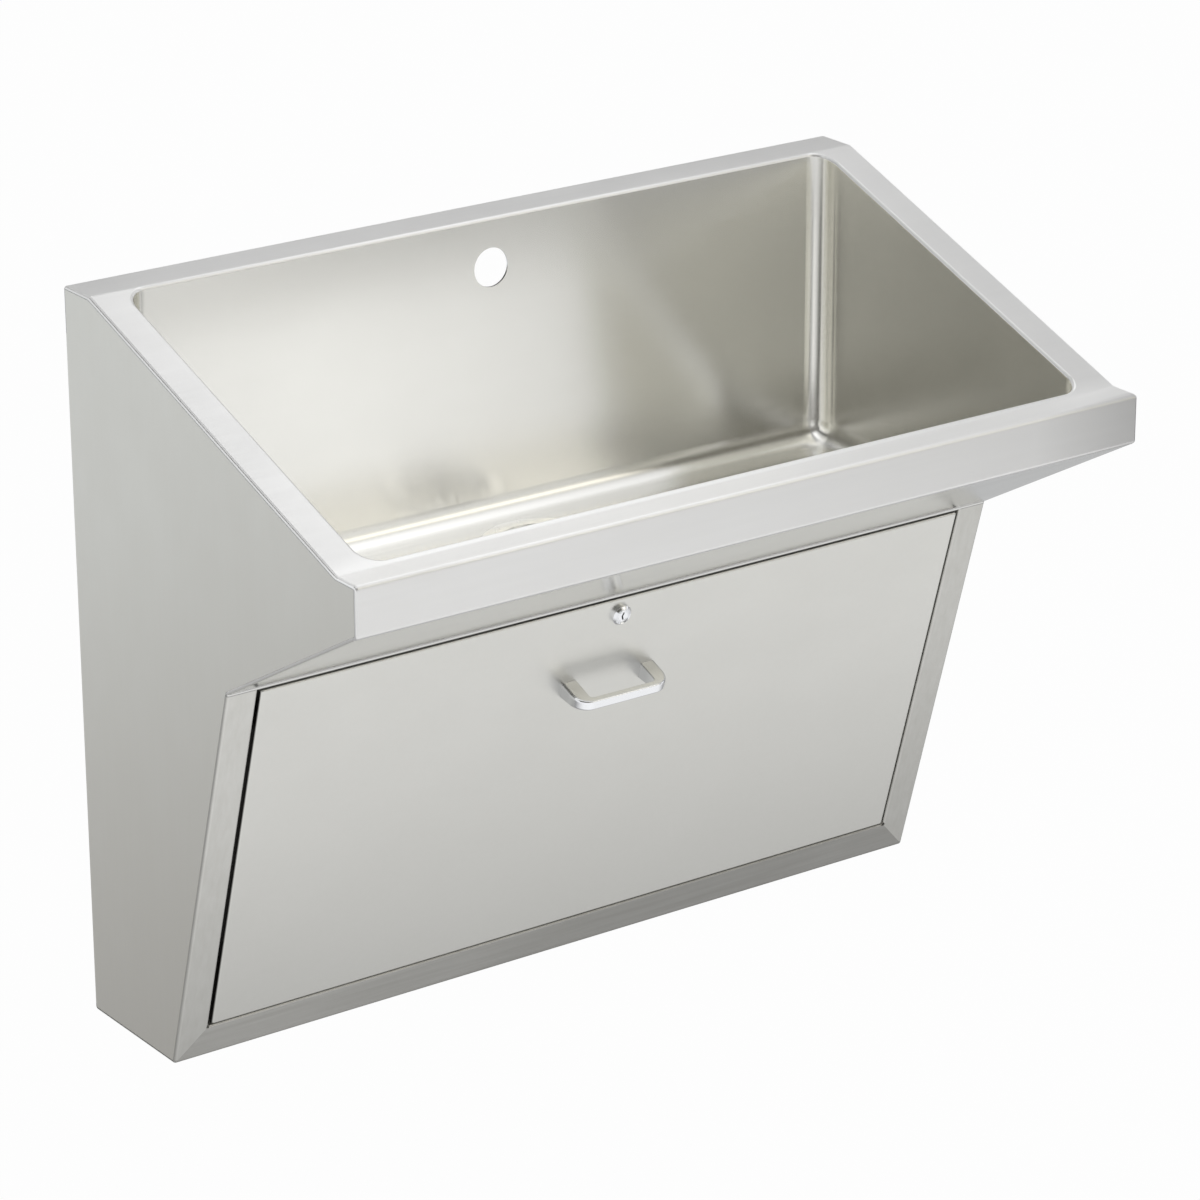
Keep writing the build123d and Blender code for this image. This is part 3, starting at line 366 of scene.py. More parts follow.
@dataclass(frozen=True)
class BrightFinish:
    """Polished plating or turned metal: near-mirror with a trace of handling."""

    name: str
    colour: Colour = (0.82, 0.83, 0.85)
    roughness: float = 0.06
    shades: tuple[Shade, ...] = ()
    smears: float = 0.05
    smear_share: float = 0.08
    smear_tone: float = 0.88
    wave_height: float = 0.15
    wave_depth: float = 0.02 * MM

    def material(self) -> bpy.types.Material:
        """Builds the node material of this finish.

        Returns:
            The material.
        """
        material, nodes = new_material(self.name)
        place = nodes.place()
        smear = HANDLING.over(nodes, place)
        wave = POLISH_WAVES.over(nodes, place)
        base = nodes.mixed(nodes.spread(smear, 0.0, self.smear_share), rgba(self.colour),
                           rgba(self.colour, self.smear_tone))
        for shade in self.shades:
            base = shade.over(nodes, base)
        shader = nodes.add(
            "ShaderNodeBsdfPrincipled", Base_Color=base, Metallic=1.0,
            Roughness=nodes.spread(smear, self.roughness, self.roughness + self.smears),
            Normal=nodes.raised(wave, self.wave_height, self.wave_depth))
        nodes.surface(shader.outputs["BSDF"])
        return material


@dataclass(frozen=True)
class DullFinish:
    """Rubber, fibre or damping sheet: not metal, with a fine moulded grain."""

    name: str
    colour: Colour = (0.05, 0.05, 0.05)
    roughness: float = 0.7
    grain: Pattern = Pattern(900.0, 4.0, 0.6)
    grain_gloss: Span = (-0.08, 0.1)
    grain_height: float = 0.5
    grain_depth: float = 0.08 * MM
    dust_share: float = 0.5
    dust_tone: float = 1.8

    def material(self) -> bpy.types.Material:
        """Builds the node material of this finish.

        Returns:
            The material.
        """
        material, nodes = new_material(self.name)
        place = nodes.place()
        grain = self.grain.over(nodes, place)
        dust = nodes.spread(DUST.over(nodes, place), 0.0, self.dust_share)
        low, high = self.grain_gloss
        shader = nodes.add(
            "ShaderNodeBsdfPrincipled",
            Base_Color=nodes.mixed(dust, rgba(self.colour), rgba(self.colour, self.dust_tone)),
            Roughness=nodes.spread(grain, self.roughness + low, self.roughness + high),
            Normal=nodes.raised(grain, self.grain_height, self.grain_depth))
        nodes.surface(shader.outputs["BSDF"])
        return material


Finish = SteelFinish | BrightFinish | DullFinish


@cache
def finished(finish: Finish) -> bpy.types.Material:
    """A finish's material, built when it is first asked for."""
    return finish.material()


MILL_STEEL = SteelFinish("bracket_steel_look", Grain.EVEN, (0.55, 0.55, 0.55), 0.45)
FASTENER_STEEL = BrightFinish("fastener_look", (0.62, 0.62, 0.62), 0.2)
SPUN_STEEL = BrightFinish("drain_look", (0.93, 0.93, 0.92), 0.24)
CHROME = BrightFinish("turned_chrome")
TUBE_CHROME = BrightFinish("plumbing_chrome_look", (0.78, 0.78, 0.79), 0.08)
BRASS = BrightFinish("brass_look", (0.72, 0.55, 0.27), 0.25)
RUBBER = DullFinish("rubber_look")
SOUND_DAMPING = DullFinish("sound_pad_look", (0.09, 0.09, 0.10), 0.85, Pattern(500.0, 4.0, 0.6))
FIBRE = DullFinish("fibre_look", (0.35, 0.27, 0.2), 0.6)


@dataclass(frozen=True)
class LeaningFront:
    """The leaning front's own directions: across, up the lean, and straight out of it."""

    foot: Place = (0.0, -0.1332, -0.584)
    latch_shift: float = -2.4

    def place(self, across: np.ndarray, up: np.ndarray, out: np.ndarray) -> np.ndarray:
        """Turns distances on the front into points of the frame.

        Each point is the foot of the front plus across along X, plus up along
        (0, -sin lean, cos lean), plus out along (0, -cos lean, -sin lean).

        Args:
            across: Millimetres along the sink from the latch's own middle.
            up: Millimetres up the lean from the foot.
            out: Millimetres out of the front.

        Returns:
            Points in metres, with the three coordinates on the last axis.
        """
        y = -up * sin(LEAN) - out * cos(LEAN)
        z = up * cos(LEAN) - out * sin(LEAN)
        offsets = np.stack(np.broadcast_arrays(across + self.latch_shift, y, z), axis=-1)
        return np.array(self.foot) + MM * offsets


class Shell:
    """Surfaces on grids of points, welded into one closed mesh."""

    def __init__(self) -> None:
        """Starts with no surface."""
        self.points: list[np.ndarray] = []
        self.quads: list[np.ndarray] = []
        self.count = 0

    def surface(self, grid: np.ndarray) -> None:
        """Adds the surface through a grid of points, one face to each four neighbours.

        Args:
            grid: Rows by columns by 3.
        """
        rows, columns = grid.shape[:2]
        index = self.count + np.arange(rows * columns).reshape(rows, columns)
        corners = (index[:-1, :-1], index[:-1, 1:], index[1:, 1:], index[1:, :-1])
        self.quads.append(np.stack(corners, axis=-1).reshape(-1, 4))
        self.points.append(grid.reshape(-1, 3))
        self.count += rows * columns

    def lid(self, ring: np.ndarray) -> None:
        """Closes a flat ring of points with a fan to its middle."""
        self.surface(np.stack([ring, np.broadcast_to(ring.mean(axis=0), ring.shape)]))

    def piece(self, name: str, finish: Finish, body: str, node: str,
              crease: float = 35.0) -> None:
        """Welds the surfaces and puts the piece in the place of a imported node.

        Args:
            name: The new object's name.
            finish: Its finish.
            body: The body it moves with.
            node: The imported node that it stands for.
            crease: Edges sharper than this many degrees stay sharp.
        """
        mesh = bpy.data.meshes.new(name)
        mesh.from_pydata(np.concatenate(self.points).tolist(), [],
                         np.concatenate(self.quads).tolist())
        work = bmesh.new()
        work.from_mesh(mesh)
        bmesh.ops.remove_doubles(work, verts=work.verts, dist=WELD)
        bmesh.ops.recalc_face_normals(work, faces=work.faces)
        loose = sum(not edge.is_manifold for edge in work.edges)
        work.to_mesh(mesh)
        work.free()
        mesh.shade_smooth()
        mesh.set_sharp_from_angle(angle=radians(crease))
        mesh.materials.append(finished(finish))
        piece = bpy.data.objects.new(name, mesh)
        bpy.context.scene.collection.objects.link(piece)
        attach(piece, body)
        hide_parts(node)
        log.info("built %s for %s: %d faces, %d open edges", name, node, len(mesh.polygons),
                 loose)


def softened(outline: list[tuple[float, float, float]], closed: bool = False, steps: int = 6,
             rest_share: float = 0.15, rest_limit: float = 0.2) -> np.ndarray:
    """A polyline whose corners are rounded.

    At each corner the arc touches both sides at radius / tan(half the corner's angle)
    from it; its centre is on the bisector at radius / sin(half the angle). One more point
    rests on each side just off the arc, so that flats keep their own shading.

    Args:
        outline: Each corner's two coordinates and its radius, all in millimetres.
        closed: Whether the last corner joins the first.
        steps: Parts of each arc.
        rest_share: How far off the arc the extra points rest, as a share of the radius.
        rest_limit: The furthest that they may rest from it.

    Returns:
        The points, with the two coordinates on the last axis.
    """
    table = np.array(outline, dtype=float)
    corner, radius = table[:, :2], table[:, 2:]
    before = np.roll(corner, 1, axis=0) - corner
    after = np.roll(corner, -1, axis=0) - corner
    before /= np.linalg.norm(before, axis=1, keepdims=True)
    after /= np.linalg.norm(after, axis=1, keepdims=True)
    half = np.arccos(np.clip((before * after).sum(axis=1, keepdims=True), -1, 1)) / 2
    reach = radius / np.tan(half)
    middle = before + after
    middle /= np.maximum(np.linalg.norm(middle, axis=1, keepdims=True), TINY)
    centre = corner + middle * radius / np.sin(half)
    start = corner + before * reach - centre
    end = corner + after * reach - centre
    turn = np.arctan2(start[:, 0] * end[:, 1] - start[:, 1] * end[:, 0],
                      (start * end).sum(axis=1))[:, None]
    share = np.linspace(0, 1, steps + 1)[None]
    angle = np.arctan2(start[:, 1:], start[:, :1]) + turn * share
    arc = centre[:, None] + radius[:, None] * np.stack([np.cos(angle), np.sin(angle)], axis=-1)
    rest = reach + np.minimum(rest_share * radius, rest_limit)
    lead = corner + before * rest
    trail = corner + after * rest
    rows = np.concatenate([lead[:, None], arc, trail[:, None]], axis=1)
    if closed:
        return np.concatenate([rows.reshape(-1, 2), rows[0, :1]])
    return np.concatenate([corner[:1], rows[1:-1].reshape(-1, 2), corner[-1:]])


@dataclass
class SubAssembly:
    """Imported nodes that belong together, each with its finish."""

    finishes: dict[str, Finish] = field(default_factory=dict)

    def dress(self) -> None:
        """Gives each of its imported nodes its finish."""
        for name, finish in self.finishes.items():
            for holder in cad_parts[name].material_slots:
                holder.material = finished(finish)
            log.info("dressed %s as %s", name, finish.name)

    def build(self) -> None:
        """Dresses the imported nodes; a sub-assembly with pieces of its own adds them."""
        self.dress()


@dataclass
class Basin(SubAssembly):
    """The rim deck round the bowl, and the bowl with the damping pads under its floor."""

    # Painted light: the front ledge keeps the full tone while the rest of the deck is darker.
    ledge_painted_light: Shade = Shade(TO_THE_WALL, (-0.412, -0.39), (1.0, 0.86))
    # Painted shade: the lip's front face is a little darker than the deck.
    lip_face_shade: Shade = Shade(TO_THE_WALL, (-0.435, -0.432), (0.89, 1.0))
    # Painted shade on the lip's right end: the way runs so steeply forward that only the lip's
    # right end and the edge above it lie this far along.
    lip_end_shade: Shade = Shade(FORWARD_AND_RIGHT, (4.64, 4.75), (1.0, 0.74))
    # Painted shade: the bowl's right wall is a little darker and tinted olive.
    right_wall_shade: Shade = Shade(LENGTHWAYS, (0.352, 0.3605), (1.0, 0.98), (1.0, 0.985, 0.9))

    def __post_init__(self) -> None:
        """Lists the basin's nodes and their finishes."""
        self.finishes = {
            "rim_deck": SteelFinish(
                "deck_steel", Grain.LENGTHWISE, (0.95, 0.95, 0.945), 0.34,
                shades=(self.ledge_painted_light, self.lip_face_shade, self.lip_end_shade)),
            "bowl": SteelFinish(
                "bowl_steel", Grain.LENGTHWISE, (0.875, 0.872, 0.85), 0.22, lines=0.3,
                streaks=0.25, clouding=0.3, marks=0.0, sheen=0.75,
                shades=(self.right_wall_shade,)),
        } | {f"{side}_sound_pad": SOUND_DAMPING for side in SIDES}


@dataclass
class Cabinet(SubAssembly):
    """The folded sheets below the rim, with the hangers, stops and strike behind them."""

    # Painted shade: the underside's bend at the head of the opening, and what lies below it, is
    # darkened so that the bend shows no highlight.
    head_bend_shade: Shade = Shade(UP_THE_LEAN, (-0.1388, -0.1362), (0.57, 1.0))
    # Painted shade: the bottom pan grows darker towards the right.
    rail_shade: Shade = Shade(LENGTHWAYS, (-0.35, 0.1), (1.0, 0.76))
    end_steel: SteelFinish = SteelFinish("end_steel", Grain.UPRIGHT, (0.87, 0.85, 0.79),
                                         lines=0.5, streaks=0.3)

    def __post_init__(self) -> None:
        """Lists the cabinet's nodes and their finishes."""
        self.finishes = {
            # Painted light: the underside's steel is near white, lighter than the other sheets.
            "front_underside_panel": SteelFinish(
                "underside_steel", Grain.LENGTHWISE, (0.99, 0.99, 0.97), 0.15, lines=0.3,
                streaks=0.4, sheen=0.3, shades=(self.head_bend_shade,)),
            # Painted shade: the bottom pan's steel is much darker than the other sheets, and
            # darker again to the right.
            "bottom_pan": SteelFinish("pan_steel", Grain.LENGTHWISE, (0.46, 0.455, 0.43), 0.4,
                                      shades=(self.rail_shade,)),
            # Painted light and shade: the two posts are one steel, the left one given a lighter
            # tone than the right.
            "left_front_post": SteelFinish("left_post_steel", Grain.UPRIGHT,
                                           (0.66, 0.655, 0.62)),
            "right_front_post": SteelFinish("right_post_steel", Grain.UPRIGHT,
                                            (0.62, 0.615, 0.58), 0.4),
            "strike_bracket": MILL_STEEL,
            "door_bumpers": RUBBER,
        }
        for side in SIDES:
            self.finishes[f"{side}_end_panel"] = self.end_steel
            self.finishes[f"{side}_wall_hanger"] = MILL_STEEL
            self.finishes[f"{side}_door_stop"] = MILL_STEEL


@dataclass
class Drain(SubAssembly):
    """The drain in the bowl's floor, from its grid down to the tailpiece."""

    def __post_init__(self) -> None:
        """Lists the drain's nodes and their finishes."""
        self.finishes = {
            "drain_body": SPUN_STEEL,
            "drain_grid": SPUN_STEEL,
            "drain_grid_screw": FASTENER_STEEL,
            "drain_gasket": RUBBER,
            "drain_friction_washer": FIBRE,
            "drain_locknut": BRASS,
            "tailpiece_washer": RUBBER,
            "tailpiece": TUBE_CHROME,
            "coupling_nut": TUBE_CHROME,
        }


@dataclass
class AccessPanel(SubAssembly):
    """The panel in the leaning front, with its stiffeners and locating tabs."""

    # Painted shade: the panel's left folded edge is nearly black, standing for the dark gap
    # beside the panel.
    left_gap_shade: Shade = Shade(LENGTHWAYS, (-0.3611, -0.3603), (0.08, 1.0))

    def __post_init__(self) -> None:
        """Lists the access panel's nodes and their finishes."""
        self.finishes = {
            "access_panel": SteelFinish("door_steel", Grain.EVEN, (0.755, 0.752, 0.718),
                                        lines=0.5, streaks=0.2, shades=(self.left_gap_shade,)),
        }
        for side in SIDES:
            self.finishes[f"{side}_panel_stiffener"] = MILL_STEEL
            self.finishes[f"{side}_locating_tab"] = MILL_STEEL


@dataclass
class PullHandle(SubAssembly):
    """The cast, chromed pull: two tapering feet and a bar rounded towards the hand."""

    front: LeaningFront = LeaningFront()
    # Painted light and shade: the pull's feet are darker and its bar's face lighter, by how far
    # out of the panel they stand.
    bar: Shade = Shade(OUT_OF_THE_LEAN, (0.3, 0.319), (0.72, 1.0))
    height: float = 297.536
    width: float = 97.0
    foot_length: float = 14.8
    foot_height: float = 15.0
    reach: float = 28.7
    bar_depth: float = 5.7
    bar_height: float = 9.0
    corner: float = 15.0
    inner_corner: float = 3.0
    outer_edge: float = 1.2
    corner_edge: float = 3.0
    inner_edge: float = 0.8
    edge_rest: float = 0.15
    edge_points: int = 13
    leg_points: int = 12
    turn_points: int = 25
    bar_points: int = 16

    def __post_init__(self) -> None:
        """Lists the pull's nodes and their finishes."""
        self.finishes = {
            "pull_handle": BrightFinish("cast_chrome", (0.86, 0.87, 0.89), shades=(self.bar,)),
            "handle_screws": FASTENER_STEEL,
        }

    def plan_line(self, side: float, reach: float, radius: float) -> np.ndarray:
        """One line of the plan, from foot to foot.

        It runs straight out of the door, turns a quarter circle and runs straight to the
        middle; the other half mirrors it.

        Args:
            side: Its distance from the middle at the feet.
            reach: Its distance out of the door along the bar.
            radius: The radius of its turn.

        Returns:
            Points as across and out.
        """
        out = np.linspace(0, reach - radius, self.leg_points)
        leg = np.stack([np.full_like(out, -side), out], axis=-1)
        turn = np.linspace(pi, pi / 2, self.turn_points)
        centre = np.array([radius - side, reach - radius])
        arc = centre + radius * np.stack([np.cos(turn), np.sin(turn)], axis=-1)
        across = np.linspace(radius - side, 0, self.bar_points)
        bar = np.stack([across, np.full_like(across, reach)], axis=-1)
        one = np.concatenate([leg[:-1], arc, bar[1:]])
        return np.concatenate([one, one[-2::-1] * (-1, 1)])

    def half_height(self, out: np.ndarray) -> np.ndarray:
        """Half the pull's height, falling evenly from the feet to the bar."""
        fall = (self.bar_height - self.foot_height) / 2
        return self.foot_height / 2 + fall * out / self.reach

    def section(self, width: np.ndarray, half: np.ndarray) -> np.ndarray:
        """The closed section at each place along the pull.

        Four quarter circles joined by flats: tight ones towards the door and wide ones
        towards the hand, which widen where the pull turns. A point's across is its
        circle's middle plus radius cos angle, and its up is the middle's height plus
        radius sin angle; one more point rests off each end of an arc.

        Args:
            width: The section's width at each place.
            half: Half its height at each place.

        Returns:
            Places by points by 2.
        """
        turning = np.clip((width - self.bar_depth) / (self.foot_length - self.bar_depth), 0, 1)
        wide = self.outer_edge + (self.corner_edge - self.outer_edge) * turning[:, None]
        tight = np.full_like(wide, self.inner_edge)
        width, half = width[:, None], half[:, None]
        quarter = pi / 2
        parts = []
        for middle, radius, side, start in ((tight, tight, -1, pi),
                                            (width - wide, wide, -1, 3 * quarter),
                                            (width - wide, wide, 1, 0.0),
                                            (tight, tight, 1, quarter)):
            angle = np.linspace(start, start + quarter, self.edge_points)[None]
            across = middle + radius * np.cos(angle)
            up = side * (half - radius) + radius * np.sin(angle)
            first = (across[:, :1] + self.edge_rest * sin(start),
                     up[:, :1] - self.edge_rest * cos(start))
            last = (across[:, -1:] - self.edge_rest * sin(start + quarter),
                    up[:, -1:] + self.edge_rest * cos(start + quarter))
            parts.append(np.stack([np.concatenate([first[0], across, last[0]], axis=1),
                                   np.concatenate([first[1], up, last[1]], axis=1)], axis=-1))
        ring = np.concatenate(parts, axis=1)
        return np.concatenate([ring, ring[:, :1]], axis=1)

    def build(self) -> None:
        """Carries the section from foot to foot between the two lines of the plan."""
        self.dress()
        outer = self.plan_line(self.width / 2, self.reach, self.corner)
        inner = self.plan_line(self.width / 2 - self.foot_length, self.reach - self.bar_depth,
                               self.inner_corner)
        width = np.linalg.norm(outer - inner, axis=1)
        half = self.half_height(outer[:, 1])
        ring = self.section(width, half)
        step = ((outer - inner) / width[:, None])[:, None]
        plan = inner[:, None] + step * ring[:, :, :1]
        up = ring[:, :, 1] * self.half_height(plan[:, :, 1]) / half[:, None]
        grid = self.front.place(plan[:, :, 0], self.height + up, plan[:, :, 1])
        shell = Shell()
        shell.surface(grid)
        shell.lid(grid[0])
        shell.lid(grid[-1])
        shell.piece("pull", self.finishes["pull_handle"], "access_panel", "pull_handle", 50.0)


@dataclass
class CamLock(SubAssembly):
    """The lock's chromed head and barrel, and the keyed plug that turns in it."""

    front: LeaningFront = LeaningFront()
    height: float = 366.036
    rim: float = 9.4
    bevel: float = 1.7
    rise: float = 4.8
    barrel: float = 8.4
    barrel_flat: float = 7.2
    barrel_length: float = 19.2
    bore: float = 5.85
    land: float = 0.8
    groove: float = 0.3
    rim_edge: float = 0.3
    land_edge: float = 0.2
    seat_edge: float = 0.12
    fine_edge: float = 0.1
    plug: float = 5.8
    plug_edge: float = 0.25
    plug_recess: float = 0.6
    plug_ring: float = 1.1
    plug_groove: float = 0.2
    tail: float = 3.5
    tail_end: float = -21.5
    screw: float = 2.05
    screw_depth: float = 9.0
    key_length: float = 7.4
    key_width: float = 1.5
    key_kink: float = 1.3
    key_depth: float = 9.5
    key_ends: float = 1.6
    key_sides: float = 6.0
    columns: int = 97
    face_rows: int = 7

    def __post_init__(self) -> None:
        """Lists the lock's nodes and their finishes."""
        self.finishes = {
            "lock_housing": CHROME,
            "lock_plug": CHROME,
            "lock_nut": FASTENER_STEEL,
            "lock_cam": FASTENER_STEEL,
            "cam_screw": FASTENER_STEEL,
        }

    def angles(self) -> np.ndarray:
        """The angles of one turn, first and last the same."""
        return np.linspace(0, 2 * pi, self.columns)

    def turned(self, radius: np.ndarray, out: np.ndarray) -> np.ndarray:
        """Points at a radius from the lock's axis and a distance out of the door.

        Across is radius cos angle and up is radius sin angle.

        Args:
            radius: Rows by angles, or rows by 1.
            out: Rows by 1.

        Returns:
            A grid in the frame.
        """
        turn = self.angles()[None]
        return self.front.place(radius * np.cos(turn), self.height + radius * np.sin(turn), out)

    def housing(self) -> None:
        """The head and the flat-sided barrel, one closed profile carried round.

        On the barrel the radius is the smaller of the barrel's own and
        flat / |cos angle|.
        """
        seat = self.rise - self.plug_recess
        edge = self.rim - self.bevel
        lip = self.bore + self.land
        ring = (lip + edge) / 2
        profile = softened([
            (self.bore, -self.barrel_length, 0.0),
            (self.bore, seat, self.seat_edge),
            (lip, seat, self.fine_edge),
            (lip, self.rise, self.land_edge),
            (ring - self.groove, self.rise, self.fine_edge),
            (ring, self.rise - self.groove, self.fine_edge),
            (ring + self.groove, self.rise, self.fine_edge),
            (edge, self.rise, self.rim_edge),
            (self.rim, self.rise - self.bevel, self.rim_edge),
            (self.rim, 0.0, 0.0),
            (self.barrel, 0.0, 0.0),
            (self.barrel, -self.barrel_length, 0.0),
        ], closed=True)
        radius, out = profile[:, :1], profile[:, 1:]
        flats = self.barrel_flat / np.maximum(np.abs(np.cos(self.angles()))[None], TINY)
        sided = (radius > self.bore + TINY) & (radius <= self.barrel + TINY) & (out <= 0)
        shell = Shell()
        shell.surface(self.turned(np.where(sided, np.minimum(radius, flats), radius), out))
        shell.piece("lock_head", CHROME, "access_panel", "lock_housing")

    def keyway(self, width: float) -> tuple[np.ndarray, np.ndarray]:
        """The bent slot for the key, at each angle round it.

        Up is half the length times sin angle, drawn out and held at the ends; across is
        half the width times cos angle, drawn out and held at the sides, plus a bend that
        runs from minus half the kink at the middle to half of it at the ends.

        Args:
            width: The slot's width; none gives its middle line.

        Returns:
            Across and up.
        """
        turn = self.angles()
        up = self.key_length / 2 * np.clip(self.key_ends * np.sin(turn), -1, 1)
        bend = self.key_kink * (2 * np.abs(up) / self.key_length - 0.5)
        return width / 2 * np.clip(self.key_sides * np.cos(turn), -1, 1) + bend, up

    def keyed_plug(self) -> None:
        """The plug: a turned side, a ruled face round the keyway, and a square tail.

        The face's points lie evenly between its edge and the keyway's. The tail's radius
        is its half width / the larger of |cos angle| and |sin angle|.
        """
        face = self.rise - self.plug_recess
        groove = self.plug - self.plug_ring
        inset = groove - self.plug_groove
        side = softened([
            (inset, face, 0.0),
            (groove, face - self.plug_groove, self.fine_edge),
            (groove + self.plug_groove, face, self.fine_edge),
            (self.plug, face, self.plug_edge),
            (self.plug, -self.barrel_length, 0.0),
        ])
        shell = Shell()
        shell.surface(self.turned(side[:, :1], side[:, 1:]))
        inner = self.turned(np.array([[inset]]), np.array([[face]]))
        depth = face - self.key_depth
        edge = self.keyway(self.key_width)
        middle = self.keyway(0.0)
        slot = [self.front.place(line[0], self.height + line[1], out)
                for line, out in ((edge, face), (edge, depth), (middle, depth))]
        share = np.linspace(0, 1, self.face_rows)[:, None, None]
        shell.surface(inner * (1 - share) + slot[0][None] * share)
        shell.surface(np.stack(slot))
        angles = self.angles()
        square = self.tail / np.maximum(np.abs(np.cos(angles)), np.abs(np.sin(angles)))
        ones = np.ones_like(square)
        radius = np.stack([self.plug * ones, square, square, self.screw * ones,
                           self.screw * ones, 0 * ones])
        hole = self.tail_end + self.screw_depth
        out = np.array([-self.barrel_length, -self.barrel_length, self.tail_end,
                        self.tail_end, hole, hole])[:, None]
        shell.surface(self.turned(radius, out))
        shell.piece("keyed_plug", CHROME, "lock", "lock_plug")

    def build(self) -> None:
        """Dresses the nut, cam and screw, and builds the head and the plug."""
        self.dress()
        self.housing()
        self.keyed_plug()


@dataclass(frozen=True)
class Board:
    """A plain board that only shows in the metal, as a soft box or a dark room does.

    Its level is given at even steps along it, at its near edge and at its far edge.
    """

    name: str
    corner: Place
    length: Triple
    width: Triple
    near_levels: tuple[float, ...]
    far_levels: tuple[float, ...]
    tint: Colour = WHITE
    peak: float = 4.0

    def share(self, nodes: Nodes, way: Triple) -> Socket:
        """How far each point of the board lies along one of its sides.

        Args:
            nodes: The material's nodes.
            way: The side, as long as the board is.

        Returns:
            A value from 0 at the corner to 1 at the side's other end.
        """
        arm = nodes.add("ShaderNodeVectorMath", operation="SUBTRACT", _0=nodes.place(),
                        _1=self.corner).outputs["Vector"]
        scaled = tuple(np.array(way) / np.dot(way, way))
        return nodes.add("ShaderNodeVectorMath", operation="DOT_PRODUCT", _0=arm,
                         _1=scaled).outputs["Value"]

    def build(self) -> None:
        """Hangs the board; its level runs along its length and fades across its width."""
        corner, length, width = map(np.array, (self.corner, self.length, self.width))
        outline = [corner, corner + length, corner + length + width, corner + width]
        mesh = bpy.data.meshes.new(self.name)
        mesh.from_pydata(outline, [], [(0, 1, 2, 3)])
        board = bpy.data.objects.new(self.name, mesh)
        bpy.context.scene.collection.objects.link(board)
        material, nodes = new_material(self.name)
        along = self.share(nodes, self.length)
        across = self.share(nodes, self.width)
        near = nodes.ramp(along, self.near_levels, self.peak)
        far = nodes.ramp(along, self.far_levels, self.peak)
        fade = nodes.maths("MULTIPLY", across, nodes.maths("SUBTRACT", far, near))
        tone = nodes.add("ShaderNodeEmission", Color=rgba(self.tint),
                         Strength=nodes.maths("ADD", near, fade))
        nodes.surface(tone.outputs[0])
        mesh.materials.append(material)
        board.visible_camera = False
        board.visible_diffuse = False
        board.visible_shadow = False
        board.visible_transmission = False


@dataclass(frozen=True)
class Lamp:
    """A soft, level lamp that shines straight down."""

    name: str
    place: Place
    length: float
    width: float
    brightness: float

    def build(self) -> None:
        """Hangs the lamp; only its light shows, not the lamp in the metal."""
        data = bpy.data.lights.new(self.name, "AREA")
        data.shape = "RECTANGLE"
        data.size = self.length
        data.size_y = self.width
        data.energy = self.brightness * pi * self.length * self.width
        lamp = bpy.data.objects.new(self.name, data)
        lamp.location = self.place
        lamp.visible_glossy = False
        bpy.context.scene.collection.objects.link(lamp)


